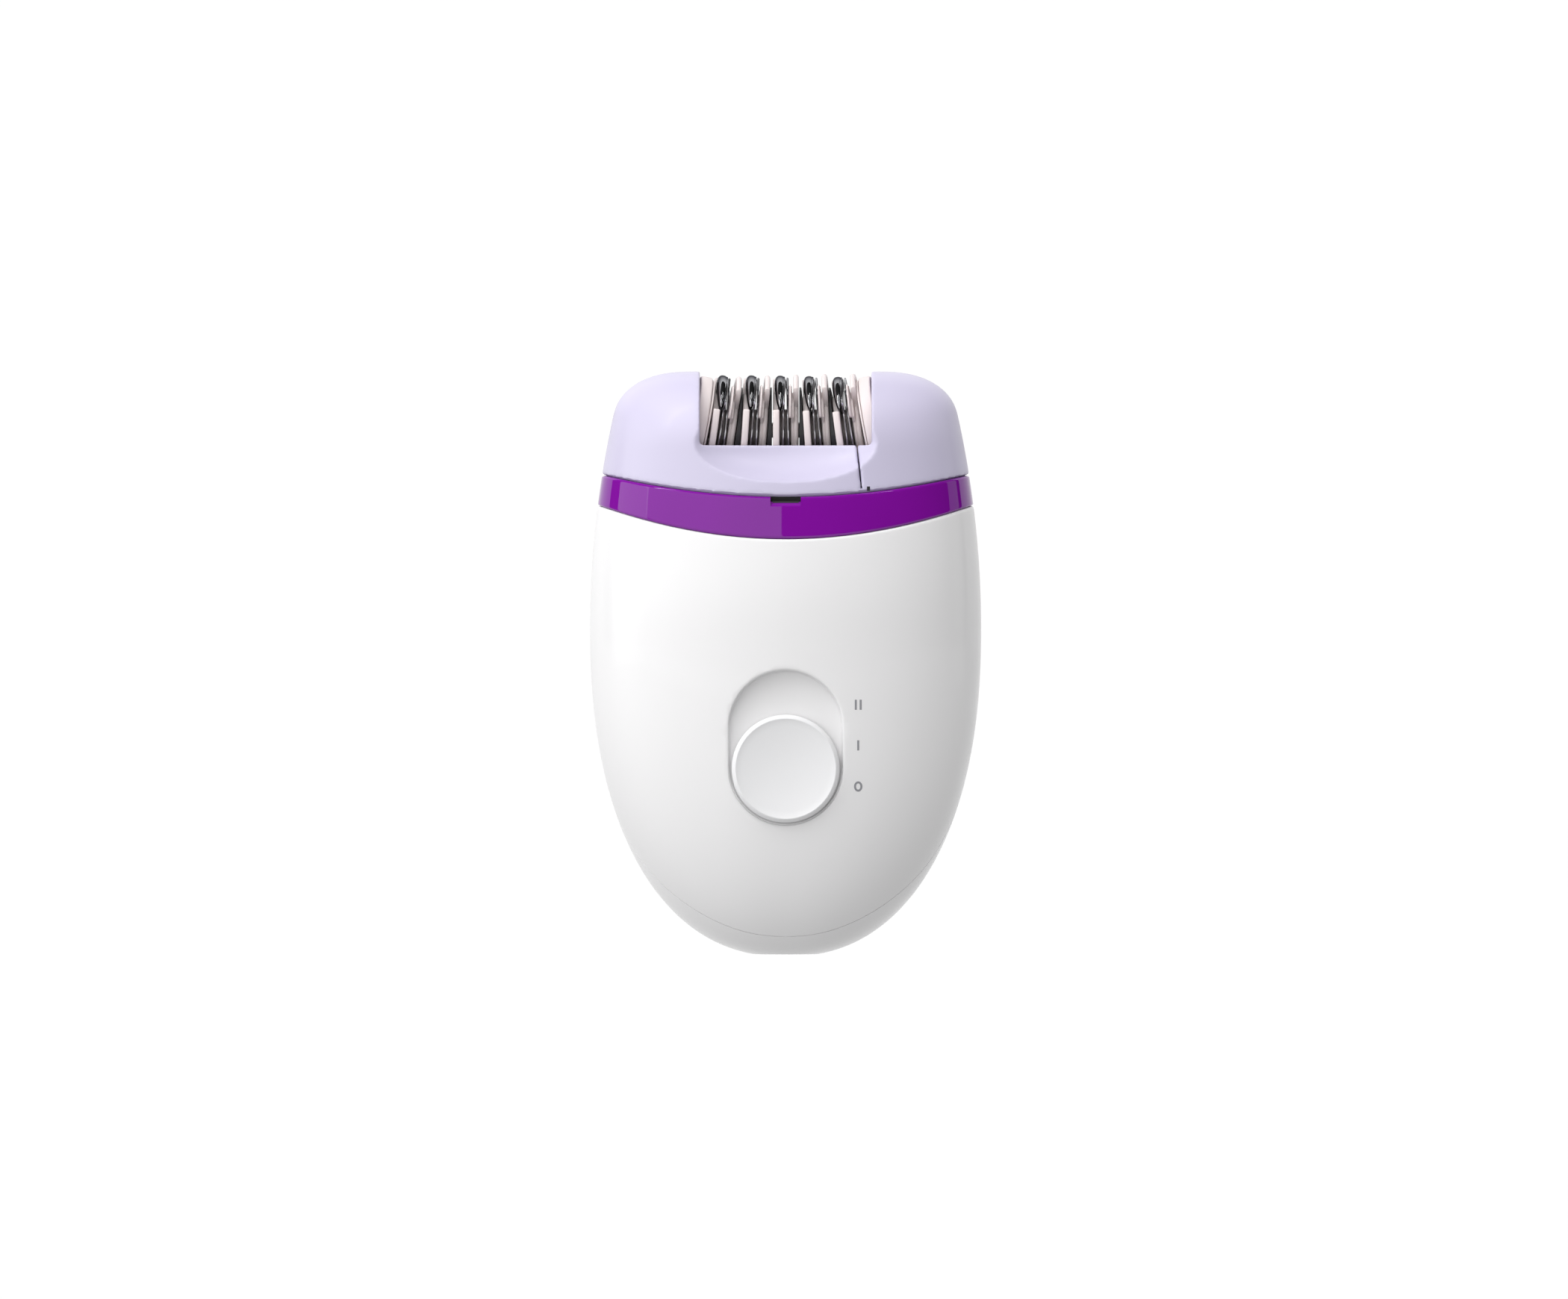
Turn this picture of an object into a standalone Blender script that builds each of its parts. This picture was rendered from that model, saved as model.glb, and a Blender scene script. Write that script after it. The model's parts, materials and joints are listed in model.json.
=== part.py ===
"""Epilator with a slide switch, a lift-off head and a fanned drum of tweezer discs.

The frame is metres with +Z along the handle, the front (switch side) towards -Y, and the origin at the
middle of the base.  Dimensions below are millimetres; MM turns them into metres.
"""
import math

import bmesh
import bpy
from mathutils import Matrix, Vector

MM = 0.001

# --- driving dimensions, millimetres -------------------------------------------------------------
# Handle outline: half width and half depth against height
WIDEST_Z = 60.8
HALF_WIDTH = 36.4
HALF_DEPTH = 21.5
BASE_FLATTEN = 0.5
WIDTH_POWER = 2.27
DEPTH_POWER = 3.0
WIDTH_TAPER = 0.0028
DEPTH_TAPER, DEPTH_TAPER_REACH = 5.2, 30.0
SECTION_POWER = 2.3
SECTION_POINTS = 32
WALL = 1.8
SEAM_GAP = 0.3

# Curved joints between handle, collar and head: height at the middle and rise towards the sides
COLLAR_LOW, COLLAR_LOW_RISE = 77.0, 6.0
COLLAR_HIGH, COLLAR_HIGH_RISE = 84.8, 4.1
RISE_REACH = 34.0

# Head crown
CROWN_TOP = 108.3
CROWN_SIDE_START, CROWN_SIDE_FALL, CROWN_SIDE_POWER = 100.0, 12.0, 2.35
CROWN_FRONT_START, CROWN_FRONT_FALL = 94.0, 15.0
OPENING_HALF = 15.9
LIP_Z = 94.4
COVER_PARTING_X, COVER_PARTING_SLOPE = 13.2, 0.10

# Drum of tweezer units on its shaft
DRUM_Z = 97.4
UNITS = 5
UNIT_PITCH = 6.0
UNIT_TILT = 4.3
FAN_LEAN = 22.0
TWEEZER_TILT = 1.2
RIM_RADIUS = 10.2
SHAFT_RADIUS = 1.4
POCKET_RADIUS = 10.6
END_DISC_X = 16.6
END_DISC_RADIUS = 10.1
END_DISC_HALF = 1.1
END_DISC_TILT = 11.9
POCKET_END_GAP = 0.45

# Scoop in front of (and behind) the drum: half sizes of an ellipsoid and where its middle lies
SCOOP_SIZE = (19.4, 8.8, 7.9)
SCOOP_DEPTH, SCOOP_HEIGHT = 20.3, 95.4

# Gear train, all axes along X
MODULE_FINE, MODULE_COARSE = 0.5, 0.8
PINION_TEETH, WHEEL_TEETH = 8, 36
SMALL_TEETH, IDLER_TEETH, DRUM_TEETH = 12, 16, 18
IDLER_Z = DRUM_Z - MODULE_COARSE * (DRUM_TEETH + IDLER_TEETH) / 2
COMPOUND_Z = IDLER_Z - MODULE_COARSE * (IDLER_TEETH + SMALL_TEETH) / 2
MOTOR_Z = COMPOUND_Z - MODULE_FINE * (WHEEL_TEETH + PINION_TEETH) / 2
WHEEL_X = (17.0, 19.0)
TRAIN_X = (21.5, 24.0)
AXLE_RADIUS = 0.95
CLEARANCE = 0.3

# Slide switch
BUTTON_Z = 34.6
BUTTON_TRAVEL = 7.6
BUTTON_RADIUS = 10.15
BUTTON_FACE_Y = -21.4
RECESS_RADIUS = 10.7
RECESS_FLOOR_Y = -19.2
SLOT_HALF = 2.3

# Mains inlet: a stadium across the base, and the pins in it
INLET_RADIUS, INLET_REACH = 2.8, 2.5
PIN_X, PIN_RADIUS = 3.3, 0.8

# Shell screws: pilot radius, clearance radius of the heads
PILOT_RADIUS, HEAD_HOLE_RADIUS = 1.05, 2.25

# Inner chassis plates
PLATE_A = (14.0, 15.6)
PLATE_B = (25.2, 26.6)
PLATE_C = (-20.0, -18.4)
CHASSIS_Z = (48.0, 83.2)

# Colours (linear RGB), roughness, metallic
MATERIALS = {
    "white_gloss": ((0.86, 0.86, 0.87), 0.25, 0.0),
    "purple_gloss": ((0.17, 0.01, 0.26), 0.12, 0.0),
    "lilac_satin": ((0.76, 0.73, 0.93), 0.35, 0.0),
    "cream_plastic": ((0.82, 0.72, 0.72), 0.40, 0.0),
    "button_white": ((0.78, 0.78, 0.79), 0.35, 0.0),
    "grey_nylon": ((0.30, 0.30, 0.32), 0.50, 0.0),
    "natural_nylon": ((0.72, 0.70, 0.62), 0.45, 0.0),
    "polished_steel": ((0.60, 0.60, 0.62), 0.12, 1.0),
    "plated_steel": ((0.50, 0.50, 0.50), 0.30, 1.0),
    "brass": ((0.70, 0.47, 0.16), 0.25, 1.0),
    "dark_core": ((0.08, 0.07, 0.07), 0.50, 0.6),
    "black_plastic": ((0.02, 0.02, 0.02), 0.45, 0.0),
    "board_green": ((0.02, 0.16, 0.06), 0.45, 0.0),
    "red_wire": ((0.50, 0.02, 0.02), 0.45, 0.0),
    "black_wire": ((0.02, 0.02, 0.02), 0.45, 0.0),
}

# --- frames: columns are the local x, y and z directions in the world ----------------------------
UPRIGHT = Matrix.Identity(4)
ALONG_X = Matrix(((0, 0, 1, 0), (1, 0, 0, 0), (0, 1, 0, 0), (0, 0, 0, 1)))
FACING_FRONT = Matrix(((1, 0, 0, 0), (0, 0, -1, 0), (0, 1, 0, 0), (0, 0, 0, 1)))


def at(frame, x=0.0, y=0.0, z=0.0):
    """A frame moved to a place given in millimetres."""
    return Matrix.Translation((x * MM, y * MM, z * MM)) @ frame


# --- scene and object helpers --------------------------------------------------------------------
def clear_scene():
    for item in list(bpy.data.objects):
        bpy.data.objects.remove(item, do_unlink=True)


clear_scene()
PARTS = bpy.data.collections.new("epilator")
bpy.context.scene.collection.children.link(PARTS)


def material(name):
    """The named Principled material, made on first use."""
    found = bpy.data.materials.get(name)
    if found:
        return found
    colour, roughness, metallic = MATERIALS[name]
    made = bpy.data.materials.new(name)
    made.use_nodes = True
    shader = made.node_tree.nodes["Principled BSDF"]
    shader.inputs["Base Color"].default_value = (*colour, 1.0)
    shader.inputs["Roughness"].default_value = roughness
    shader.inputs["Metallic"].default_value = metallic
    made.diffuse_color = (*colour, 1.0)
    return made


def link(name, mesh, frame=UPRIGHT):
    item = bpy.data.objects.new(name, mesh)
    item.matrix_world = frame
    PARTS.objects.link(item)
    return item


def evaluated_mesh(item):
    """The object's mesh with its modifiers applied; the object itself is removed."""
    graph = bpy.context.evaluated_depsgraph_get()
    mesh = bpy.data.meshes.new_from_object(item.evaluated_get(graph), depsgraph=graph)
    bpy.data.objects.remove(item, do_unlink=True)
    return mesh


def clean(mesh, merge=1e-6, turn_out=True):
    """Weld doubled points and, unless the mesh holds a cut void, point every face outwards."""
    shape = bmesh.new()
    shape.from_mesh(mesh)
    bmesh.ops.remove_doubles(shape, verts=shape.verts, dist=merge)
    if turn_out:
        bmesh.ops.recalc_face_normals(shape, faces=shape.faces)
    shape.to_mesh(mesh)
    shape.free()
    return mesh


def finish(item, surface, pivot=None, sharp=35.0):
    """Give an object its material and shading, and move its origin to a pivot in millimetres."""
    item.data.materials.clear()
    item.data.materials.append(material(surface))
    item.data.shade_smooth()
    item.data.set_sharp_from_angle(angle=math.radians(sharp))
    if pivot is not None:
        shift = Vector(pivot) * MM - item.matrix_world.translation
        item.data.transform(Matrix.Translation(-(item.matrix_world.to_3x3().inverted() @ shift)))
        item.matrix_world.translation = Vector(pivot) * MM
    return item


def boolean(item, tool, operation="DIFFERENCE"):
    """Cut, join or intersect an object with a tool, which is used up."""
    step = item.modifiers.new(operation.lower(), "BOOLEAN")
    step.operation = operation
    step.object = tool
    frame = item.matrix_world.copy()
    name = item.name
    bpy.context.view_layer.update()
    mesh = clean(evaluated_mesh(item), 1e-8, False)
    bpy.data.objects.remove(tool, do_unlink=True)
    return link(name, mesh, frame)


def cut(item, *tools):
    for tool in tools:
        item = boolean(item, tool)
    return item


def join(item, *tools):
    for tool in tools:
        item = boolean(item, tool, "UNION")
    return item


def keep(item, tool):
    return boolean(item, tool, "INTERSECT")


# --- shape helpers, all in millimetres -----------------------------------------------------------
def box(name, low, high, frame=UPRIGHT):
    shape = bmesh.new()
    bmesh.ops.create_cube(shape, size=1.0)
    for vert in shape.verts:
        vert.co = Vector([(low[i] + (vert.co[i] + 0.5) * (high[i] - low[i])) * MM for i in range(3)])
    mesh = bpy.data.meshes.new(name)
    shape.to_mesh(mesh)
    shape.free()
    return link(name, mesh, frame)


def cylinder(name, radius, low, high, frame=UPRIGHT, segments=24):
    shape = bmesh.new()
    bmesh.ops.create_cone(shape, cap_ends=True, segments=segments, radius1=radius * MM,
                          radius2=radius * MM, depth=(high - low) * MM)
    bmesh.ops.translate(shape, verts=shape.verts, vec=(0, 0, (high + low) / 2 * MM))
    mesh = bpy.data.meshes.new(name)
    shape.to_mesh(mesh)
    shape.free()
    return link(name, mesh, frame)


def prism(name, outlines, low, high, frame=UPRIGHT):
    """A flat outline (with any holes) given thickness from low to high along the frame's z."""
    curve = bpy.data.curves.new(name, "CURVE")
    curve.dimensions = "2D"
    curve.fill_mode = "BOTH"
    curve.extrude = (high - low) / 2 * MM
    for outline in outlines:
        spline = curve.splines.new("POLY")
        spline.points.add(len(outline) - 1)
        for point, (u, v) in zip(spline.points, outline):
            point.co = (u * MM, v * MM, 0.0, 1.0)
        spline.use_cyclic_u = True
    mesh = clean(evaluated_mesh(link(name, curve)))
    mesh.transform(Matrix.Translation((0, 0, (high + low) / 2 * MM)))
    return link(name, mesh, frame)


def turned(name, profile, frame=UPRIGHT, segments=20):
    """A profile of (radius, height) points turned about the frame's z; it closes on itself off the axis."""
    mesh = bpy.data.meshes.new(name)
    points = [(radius * MM, 0.0, height * MM) for radius, height in profile]
    on_axis = profile[0][0] == 0 and profile[-1][0] == 0
    edges = [(i, i + 1) for i in range(len(points) - 1)]
    if not on_axis:
        edges.append((len(points) - 1, 0))
    mesh.from_pydata(points, edges, [])
    item = link(name, mesh)
    screw = item.modifiers.new("turn", "SCREW")
    screw.steps = screw.render_steps = segments
    screw.use_merge_vertices = True
    screw.merge_threshold = 1e-6
    return link(name, clean(evaluated_mesh(item)), frame)


def circle(radius, segments, cu=0.0, cv=0.0):
    turn = 2 * math.pi / segments
    return [(cu + radius * math.cos(i * turn), cv + radius * math.sin(i * turn)) for i in range(segments)]


def stadium(radius, low, high, arc=14):
    """Upright stadium outline: two half circles with their centres at heights low and high."""
    upper = [(radius * math.cos(math.pi * i / arc), high + radius * math.sin(math.pi * i / arc))
             for i in range(arc + 1)]
    lower = [(-u, low + high - v) for u, v in upper]
    return upper + lower


def wire(name, points, radius):
    """A round wire through points, smoothed and with filled ends."""
    fine = []
    steps = 3
    for i in range(len(points) - 1):
        before, a = Vector(points[max(i - 1, 0)]), Vector(points[i])
        b, after = Vector(points[i + 1]), Vector(points[min(i + 2, len(points) - 1)])
        for k in range(steps):
            t = k / steps
            fine.append(0.5 * (2 * a + (b - before) * t + (2 * before - 5 * a + 4 * b - after) * t * t
                               + (3 * a - before - 3 * b + after) * t ** 3))
    fine.append(Vector(points[-1]))
    curve = bpy.data.curves.new(name, "CURVE")
    curve.dimensions = "3D"
    curve.bevel_depth = radius * MM
    curve.bevel_resolution = 1
    curve.use_fill_caps = True
    spline = curve.splines.new("POLY")
    spline.points.add(len(fine) - 1)
    for point, place in zip(spline.points, fine):
        point.co = (*(place * MM), 1.0)
    return link(name, clean(evaluated_mesh(link(name, curve))))


# --- outline of the handle and head --------------------------------------------------------------
def half_width(z):
    if z < WIDEST_Z:
        reach = (WIDEST_Z - z) / (WIDEST_Z + BASE_FLATTEN)
        return HALF_WIDTH * (1 - reach ** WIDTH_POWER) ** (1 / WIDTH_POWER)
    width = HALF_WIDTH - WIDTH_TAPER * (z - WIDEST_Z) ** 2
    if z > CROWN_SIDE_START:
        rise = min((z - CROWN_SIDE_START) / (CROWN_TOP - CROWN_SIDE_START), 1.0)
        fall = 1 - (1 - rise ** CROWN_SIDE_POWER) ** (1 / CROWN_SIDE_POWER)
        width -= CROWN_SIDE_FALL * fall
    return width


def half_depth(z):
    if z < WIDEST_Z:
        reach = (WIDEST_Z - z) / (WIDEST_Z + BASE_FLATTEN)
        return HALF_DEPTH * (1 - reach ** DEPTH_POWER) ** (1 / DEPTH_POWER)
    depth = HALF_DEPTH - DEPTH_TAPER * (1 - math.exp(-(((z - WIDEST_Z) / DEPTH_TAPER_REACH) ** 2)))
    if z > CROWN_FRONT_START:
        rise = min((z - CROWN_FRONT_START) / (CROWN_TOP - CROWN_FRONT_START), 1.0)
        depth -= CROWN_FRONT_FALL * (1 - math.sqrt(1 - rise ** 2))
    return max(depth, 2.0)


def section(z, inset):
    """Superellipse ring of the outline at height z, moved inwards by inset."""
    ring = []
    for i in range(SECTION_POINTS):
        angle = 2 * math.pi * i / SECTION_POINTS
        c, s = math.cos(angle), math.sin(angle)
        x = (half_width(z) - inset) * math.copysign(abs(c) ** (2 / SECTION_POWER), c)
        y = (half_depth(z) - inset) * math.copysign(abs(s) ** (2 / SECTION_POWER), s)
        ring.append((x, y, z))
    return ring


def loft(name, heights, inset=0.0):
    """A closed solid through the outline's sections at the given heights."""
    shape = bmesh.new()
    rings = [[shape.verts.new(Vector(point) * MM) for point in section(z, inset)] for z in heights]
    for low, high in zip(rings, rings[1:]):
        for i in range(SECTION_POINTS):
            j = (i + 1) % SECTION_POINTS
            shape.faces.new((low[i], low[j], high[j], high[i]))
    shape.faces.new(reversed(rings[0]))
    shape.faces.new(rings[-1])
    mesh = bpy.data.meshes.new(name)
    shape.to_mesh(mesh)
    shape.free()
    return link(name, clean(mesh))


def handle_heights(low, high):
    """Section heights, closer together towards the rounded base."""
    rings = 8
    spread = [WIDEST_Z * (1 - math.cos(math.pi / 2 * i / rings)) for i in range(rings + 1)]
    spread += [68.0, 76.0, 84.0, 92.0]
    return [low] + [z for z in spread if low + 0.8 < z < high - 0.8] + [high]


def crown_heights(high):
    """Section heights, closer together towards the top of the head."""
    rings = 7
    crown = [90.0 + (CROWN_TOP - 90.0) * math.sin(math.pi / 2 * i / rings) for i in range(rings)]
    return [80.0, 85.0] + [z for z in crown if z < high - 0.3] + [high]


def rise_curve(height, rise, x):
    return height + rise * (x / RISE_REACH) ** 2


def rise_slab(name, low, high, reach=40.0, depth=30.0, steps=14):
    """Everything between two curves (height, rise) of x, through the whole depth of the object."""
    xs = [-reach + 2 * reach * i / steps for i in range(steps + 1)]
    outline = [(x, rise_curve(*low, x)) for x in xs] + [(x, rise_curve(*high, x)) for x in reversed(xs)]
    return prism(name, [outline], -depth, depth, FACING_FRONT)


def seam_y(z):
    """The shells meet at the middle, and run forward towards the base."""
    return -12.5 * math.exp(-((z / 21.0) ** 2))


def seam_side(name, front):
    """The space in front of (or behind) the shells' seam, with half the gap left free."""
    heights = [-3.0] + [4.0 * i for i in range(1, 15)] + [96.0]
    side = -1 if front else 1
    edge = [(seam_y(z) + side * SEAM_GAP / 2, z) for z in heights]
    outline = edge + [(side * 40.0, 96.0), (side * 40.0, -3.0)]
    return prism(name, [outline], -45.0, 45.0, ALONG_X)


# --- handle --------------------------------------------------------------------------------------
LOWER_BOSS = (22.0, 34.0, 10.0)
UPPER_BOSS = (30.5, 70.0, 2.0)
BOSS_PLACES = [(sign * x, z, y) for x, z, y in (LOWER_BOSS, UPPER_BOSS) for sign in (-1, 1)]
BOSS_HEAD_STEP = 2.5


def along_y(x, z):
    """Frame whose z runs to the back, at a place on the front view."""
    return at(Matrix.Rotation(-math.pi / 2, 4, "X"), x, 0.0, z)


def cavity():
    """The handle's inside, less the thickening behind the switch recess."""
    inside = loft("cavity", handle_heights(2.0, 95.0), WALL)
    low, high = BUTTON_Z + 0.2, BUTTON_Z + BUTTON_TRAVEL + 0.2
    pad = prism("pad", [stadium(RECESS_RADIUS + 1.6, low, high)], 17.4, 30.0, FACING_FRONT)
    return cut(inside, pad)


def handle_shell(name, front):
    shell = cut(loft(name, handle_heights(0.0, 92.0)), cavity())
    shell = keep(shell, seam_side("side", front))
    below_collar = (COLLAR_LOW - SEAM_GAP / 2, COLLAR_LOW_RISE)
    return keep(shell, rise_slab("below", (-10.0, 0.0), below_collar))


def boss(x, z, radius, low, high):
    """Screw boss between two depths, kept inside the shell's outer surface."""
    post = cylinder("post", radius, low, high, along_y(x, z), 12)
    return keep(post, loft("inside", handle_heights(1.0, 90.0), 0.7))


def make_front_shell():
    shell = handle_shell("front_shell", True)
    low, high = BUTTON_Z + 0.2, BUTTON_Z + BUTTON_TRAVEL + 0.2
    recess = [stadium(RECESS_RADIUS, low, high)]
    shell = cut(shell, prism("recess", recess, -RECESS_FLOOR_Y, 30.0, FACING_FRONT))
    slot_top = BUTTON_Z + BUTTON_TRAVEL + SLOT_HALF
    slot = box("slot", (-SLOT_HALF, -25.0, BUTTON_Z - SLOT_HALF), (SLOT_HALF, -15.0, slot_top))
    shell = cut(shell, slot)
    for x, z, y in BOSS_PLACES:
        shell = join(shell, boss(x, z, 2.6, -20.0, y - CLEARANCE))
        shell = cut(shell, cylinder("hole", PILOT_RADIUS, y - 8.0, y + 5.0, along_y(x, z), 8))
    return finish(shell, "white_gloss")


def make_rear_shell():
    shell = handle_shell("rear_shell", False)
    for x, z, y in BOSS_PLACES:
        shell = join(shell, boss(x, z, 3.2, y, 22.0))
        step = y + BOSS_HEAD_STEP
        shell = cut(shell, cylinder("head_hole", HEAD_HOLE_RADIUS, step, 30.0, along_y(x, z), 12))
        shell = cut(shell, cylinder("hole", PILOT_RADIUS, y - 5.0, 25.0, along_y(x, z), 8))
    shell = cut(shell, prism("inlet", [stadium_across(INLET_RADIUS, INLET_REACH)], -5.0, 5.0))
    return finish(shell, "white_gloss")


def stadium_across(radius, reach, arc=8):
    """Stadium outline lying along the first axis, with half-circle centres at plus and minus reach."""
    return [(v, -u) for u, v in stadium(radius, -reach, reach, arc)]


def make_shell_screws():
    for number, (x, z, y) in enumerate(BOSS_PLACES, 1):
        seat = y + BOSS_HEAD_STEP + CLEARANCE
        shank = [(0.72, seat), (0.72, y - 6.0), (0, y - 7.0)]
        profile = [(0, seat + 1.5), (1.9, seat + 1.3), (1.9, seat)] + shank
        screw = turned(f"shell_screw_{number}", profile, along_y(x, z), 12)
        finish(screw, "plated_steel")


def make_collar():
    ring = loft("collar_ring", handle_heights(70.0, 92.0) + [96.0])
    ring = cut(ring, loft("inside", [60.0, 70.0, 76.0, 84.0, 92.0, 98.0], 2.0))
    low = (COLLAR_LOW + SEAM_GAP / 2, COLLAR_LOW_RISE)
    ring = keep(ring, rise_slab("band", low, (COLLAR_HIGH, COLLAR_HIGH_RISE)))
    ring = cut(ring, box("notch", (-2.8, -30.0, 82.4), (2.8, -10.0, 90.0)))
    finish(ring, "purple_gloss")
    latch = box("head_latch", (-4.0, -16.4, 78.0), (4.0, -15.2, COLLAR_HIGH))
    latch = join(latch, box("tab", (-2.4, -18.6, 82.75), (2.4, -16.0, 84.0)))
    finish(latch, "purple_gloss")


def make_socket():
    block = box("socket_block", (-7.2, -4.6, 2.4), (7.2, 4.6, 14.0))
    block = cut(block, prism("mouth", [stadium_across(INLET_RADIUS, INLET_REACH)], -1.0, 10.5))
    for sign in (-1, 1):
        place = at(UPRIGHT, sign * PIN_X)
        block = cut(block, cylinder("pin_hole", PIN_RADIUS + CLEARANCE, 9.0, 16.0, place, 12))
    finish(block, "black_plastic")
    for sign, side in ((-1, "left"), (1, "right")):
        profile = [(0, 15.5), (PIN_RADIUS, 15.2), (PIN_RADIUS, 3.2), (PIN_RADIUS / 2, 2.7), (0, 2.7)]
        finish(turned(f"socket_pin_{side}", profile, at(UPRIGHT, sign * PIN_X), 12), "brass")


# --- chassis, motor and electronics ---------------------------------------------------------------
def make_chassis():
    low, high = CHASSIS_Z
    plate_a = box("inner_chassis", (PLATE_A[0], -12.0, low), (PLATE_A[1], 12.0, high))
    plate_b = box("plate_b", (PLATE_B[0], -12.0, low), (PLATE_B[1], 12.0, 80.0))
    tongue = box("tongue", (PLATE_B[0], -3.0, 78.0), (PLATE_B[1], 3.0, IDLER_Z + 2.0))
    plate_c = box("plate_c", (PLATE_C[0], -12.0, low), (PLATE_C[1], 12.0, high))
    floor = box("floor", (PLATE_C[0] + 0.5, -10.4, low + 0.05), (PLATE_B[1] - 0.4, 11.6, low + 1.6))
    deck = box("deck", (PLATE_C[0] + 0.5, -11.6, high - 1.6), (PLATE_A[1] - 0.4, 11.6, high - 0.05))
    chassis = join(plate_a, plate_c, floor, deck, plate_b, tongue)
    for side in (-1, 1):
        edges = sorted((side * 9.6, side * 11.6))
        rail = box("rail", (PLATE_A[0] + 0.4, edges[0], 76.0), (PLATE_B[1] - 0.4, edges[1], 77.6))
        chassis = join(chassis, rail)
    chassis = cut(chassis, cylinder("motor_hole", 2.6, 10.0, 17.0, at(ALONG_X, 0, 0, MOTOR_Z)))
    chassis = cut(chassis, cylinder("bearing_hole", 2.6, -22.0, -17.0, at(ALONG_X, 0, 0, MOTOR_Z)))
    chassis = cut(chassis, cylinder("axle_hole", AXLE_RADIUS + CLEARANCE, 10.0, 30.0,
                                    at(ALONG_X, 0, 0, COMPOUND_Z), 16))
    chassis = cut(chassis, cylinder("idler_hole", AXLE_RADIUS + CLEARANCE, 20.0, 30.0,
                                    at(ALONG_X, 0, 0, IDLER_Z), 16))
    finish(chassis, "grey_nylon")
    for name, height, start in (("compound_axle", COMPOUND_Z, 14.3), ("idler_axle", IDLER_Z, 20.2)):
        axle = cylinder(name, AXLE_RADIUS, start, PLATE_B[1] - 0.2, at(ALONG_X, 0, 0, height), 16)
        finish(axle, "polished_steel")


CAN_X = (-14.0, 13.5)
CAN_RADIUS = 11.0


def make_motor():
    frame = at(ALONG_X, 0, 0, MOTOR_Z)
    left, right = CAN_X
    inside = CAN_RADIUS - 0.8
    can = [(CAN_RADIUS, right - 0.6), (CAN_RADIUS, left), (inside, left), (inside, right - 0.8)]
    can += [(1.3, right - 0.8), (1.3, right), (CAN_RADIUS - 0.6, right)]
    finish(turned("motor_can", can, frame), "plated_steel")
    cap = [(CAN_RADIUS - 0.4, left - 0.3), (CAN_RADIUS, left - 0.9), (CAN_RADIUS, left - 2.2)]
    cap += [(1.3, left - 2.2), (1.3, left - 0.3)]
    finish(turned("motor_end_cap", cap, frame), "black_plastic")
    magnet = [(9.9, 8.0), (9.9, -10.0), (8.9, -10.0), (8.9, 8.0)]
    finish(turned("motor_magnet", magnet, frame), "dark_core")
    core = [(8.4, 7.0), (8.4, -9.0), (1.0, -9.0), (1.0, 7.0)]
    finish(turned("rotor_core", core, frame), "dark_core", (0, 0, MOTOR_Z))
    commutator = [(3.0, -10.0), (3.0, -13.2), (1.0, -13.2), (1.0, -10.0)]
    finish(turned("commutator", commutator, frame, 20), "brass", (0, 0, MOTOR_Z))
    shaft = cylinder("motor_shaft", 0.7, left - 3.4, 19.8, frame, 16)
    finish(shaft, "polished_steel", (0, 0, MOTOR_Z))


WIRE_RADIUS = 0.45


def make_electronics():
    board = box("circuit_board", (-13.0, -8.6, 18.0), (13.0, -7.0, 47.4))
    finish(board, "board_green")
    low, high = BUTTON_Z - 5.0, BUTTON_Z + BUTTON_TRAVEL + 4.0
    housing = box("switch_housing", (-4.5, -12.0, low), (4.5, -8.9, high))
    finish(housing, "black_plastic")
    capacitor = turned("capacitor", [(0, 46.0), (3.6, 45.6), (4.0, 45.0), (4.0, 33.0), (0, 33.0)],
                       at(UPRIGHT, -7.0, -2.2), 20)
    finish(capacitor, "dark_core")
    for side, surface in ((-1, "red_wire"), (1, "black_wire")):
        name = "left" if side < 0 else "right"
        start = (-16.9, -4.0 + 2.5 * side, 57.0 + 2.0 * side)
        turn = (-15.5 + side, -12.0, 49.5)
        route = [start, (-17.2, -8.0 + 1.6 * side, 53.5), turn, (-9.5 + 2.0 * side, -10.2, 45.5)]
        finish(wire(f"motor_wire_{name}", route, WIRE_RADIUS), surface)
        turn = (side * 4.0, -3.4, 20.5)
        route = [(side * PIN_X, 0.0, 16.2), (side * 3.5, -0.6, 18.5), turn, (side * 4.4, -6.2, 21.0)]
        finish(wire(f"socket_wire_{name}", route, WIRE_RADIUS), surface)


def make_button():
    """Round slide button with a chamfered rim, and the lever that carries it through the slot."""
    frame = at(FACING_FRONT, 0, 0, BUTTON_Z)
    face, back = -BUTTON_FACE_Y, -RECESS_FLOOR_Y + CLEARANCE
    radius = BUTTON_RADIUS
    dish = [(0, face - 0.35), (radius - 3.5, face - 0.25), (radius - 0.9, face)]
    profile = dish + [(radius - 0.2, face - 0.45), (radius, face - 0.9), (radius, back), (0, back)]
    pivot = (0, BUTTON_FACE_Y, BUTTON_Z)
    finish(turned("slide_button", profile, frame, 32), "button_white", pivot)
    lever = box("switch_lever", (-1.9, RECESS_FLOOR_Y + 0.05, BUTTON_Z - 1.9), (1.9, -12.4, BUTTON_Z + 1.9))
    finish(lever, "black_plastic", pivot)


# --- gears ---------------------------------------------------------------------------------------
def involute(angle):
    return math.tan(angle) - angle


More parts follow.
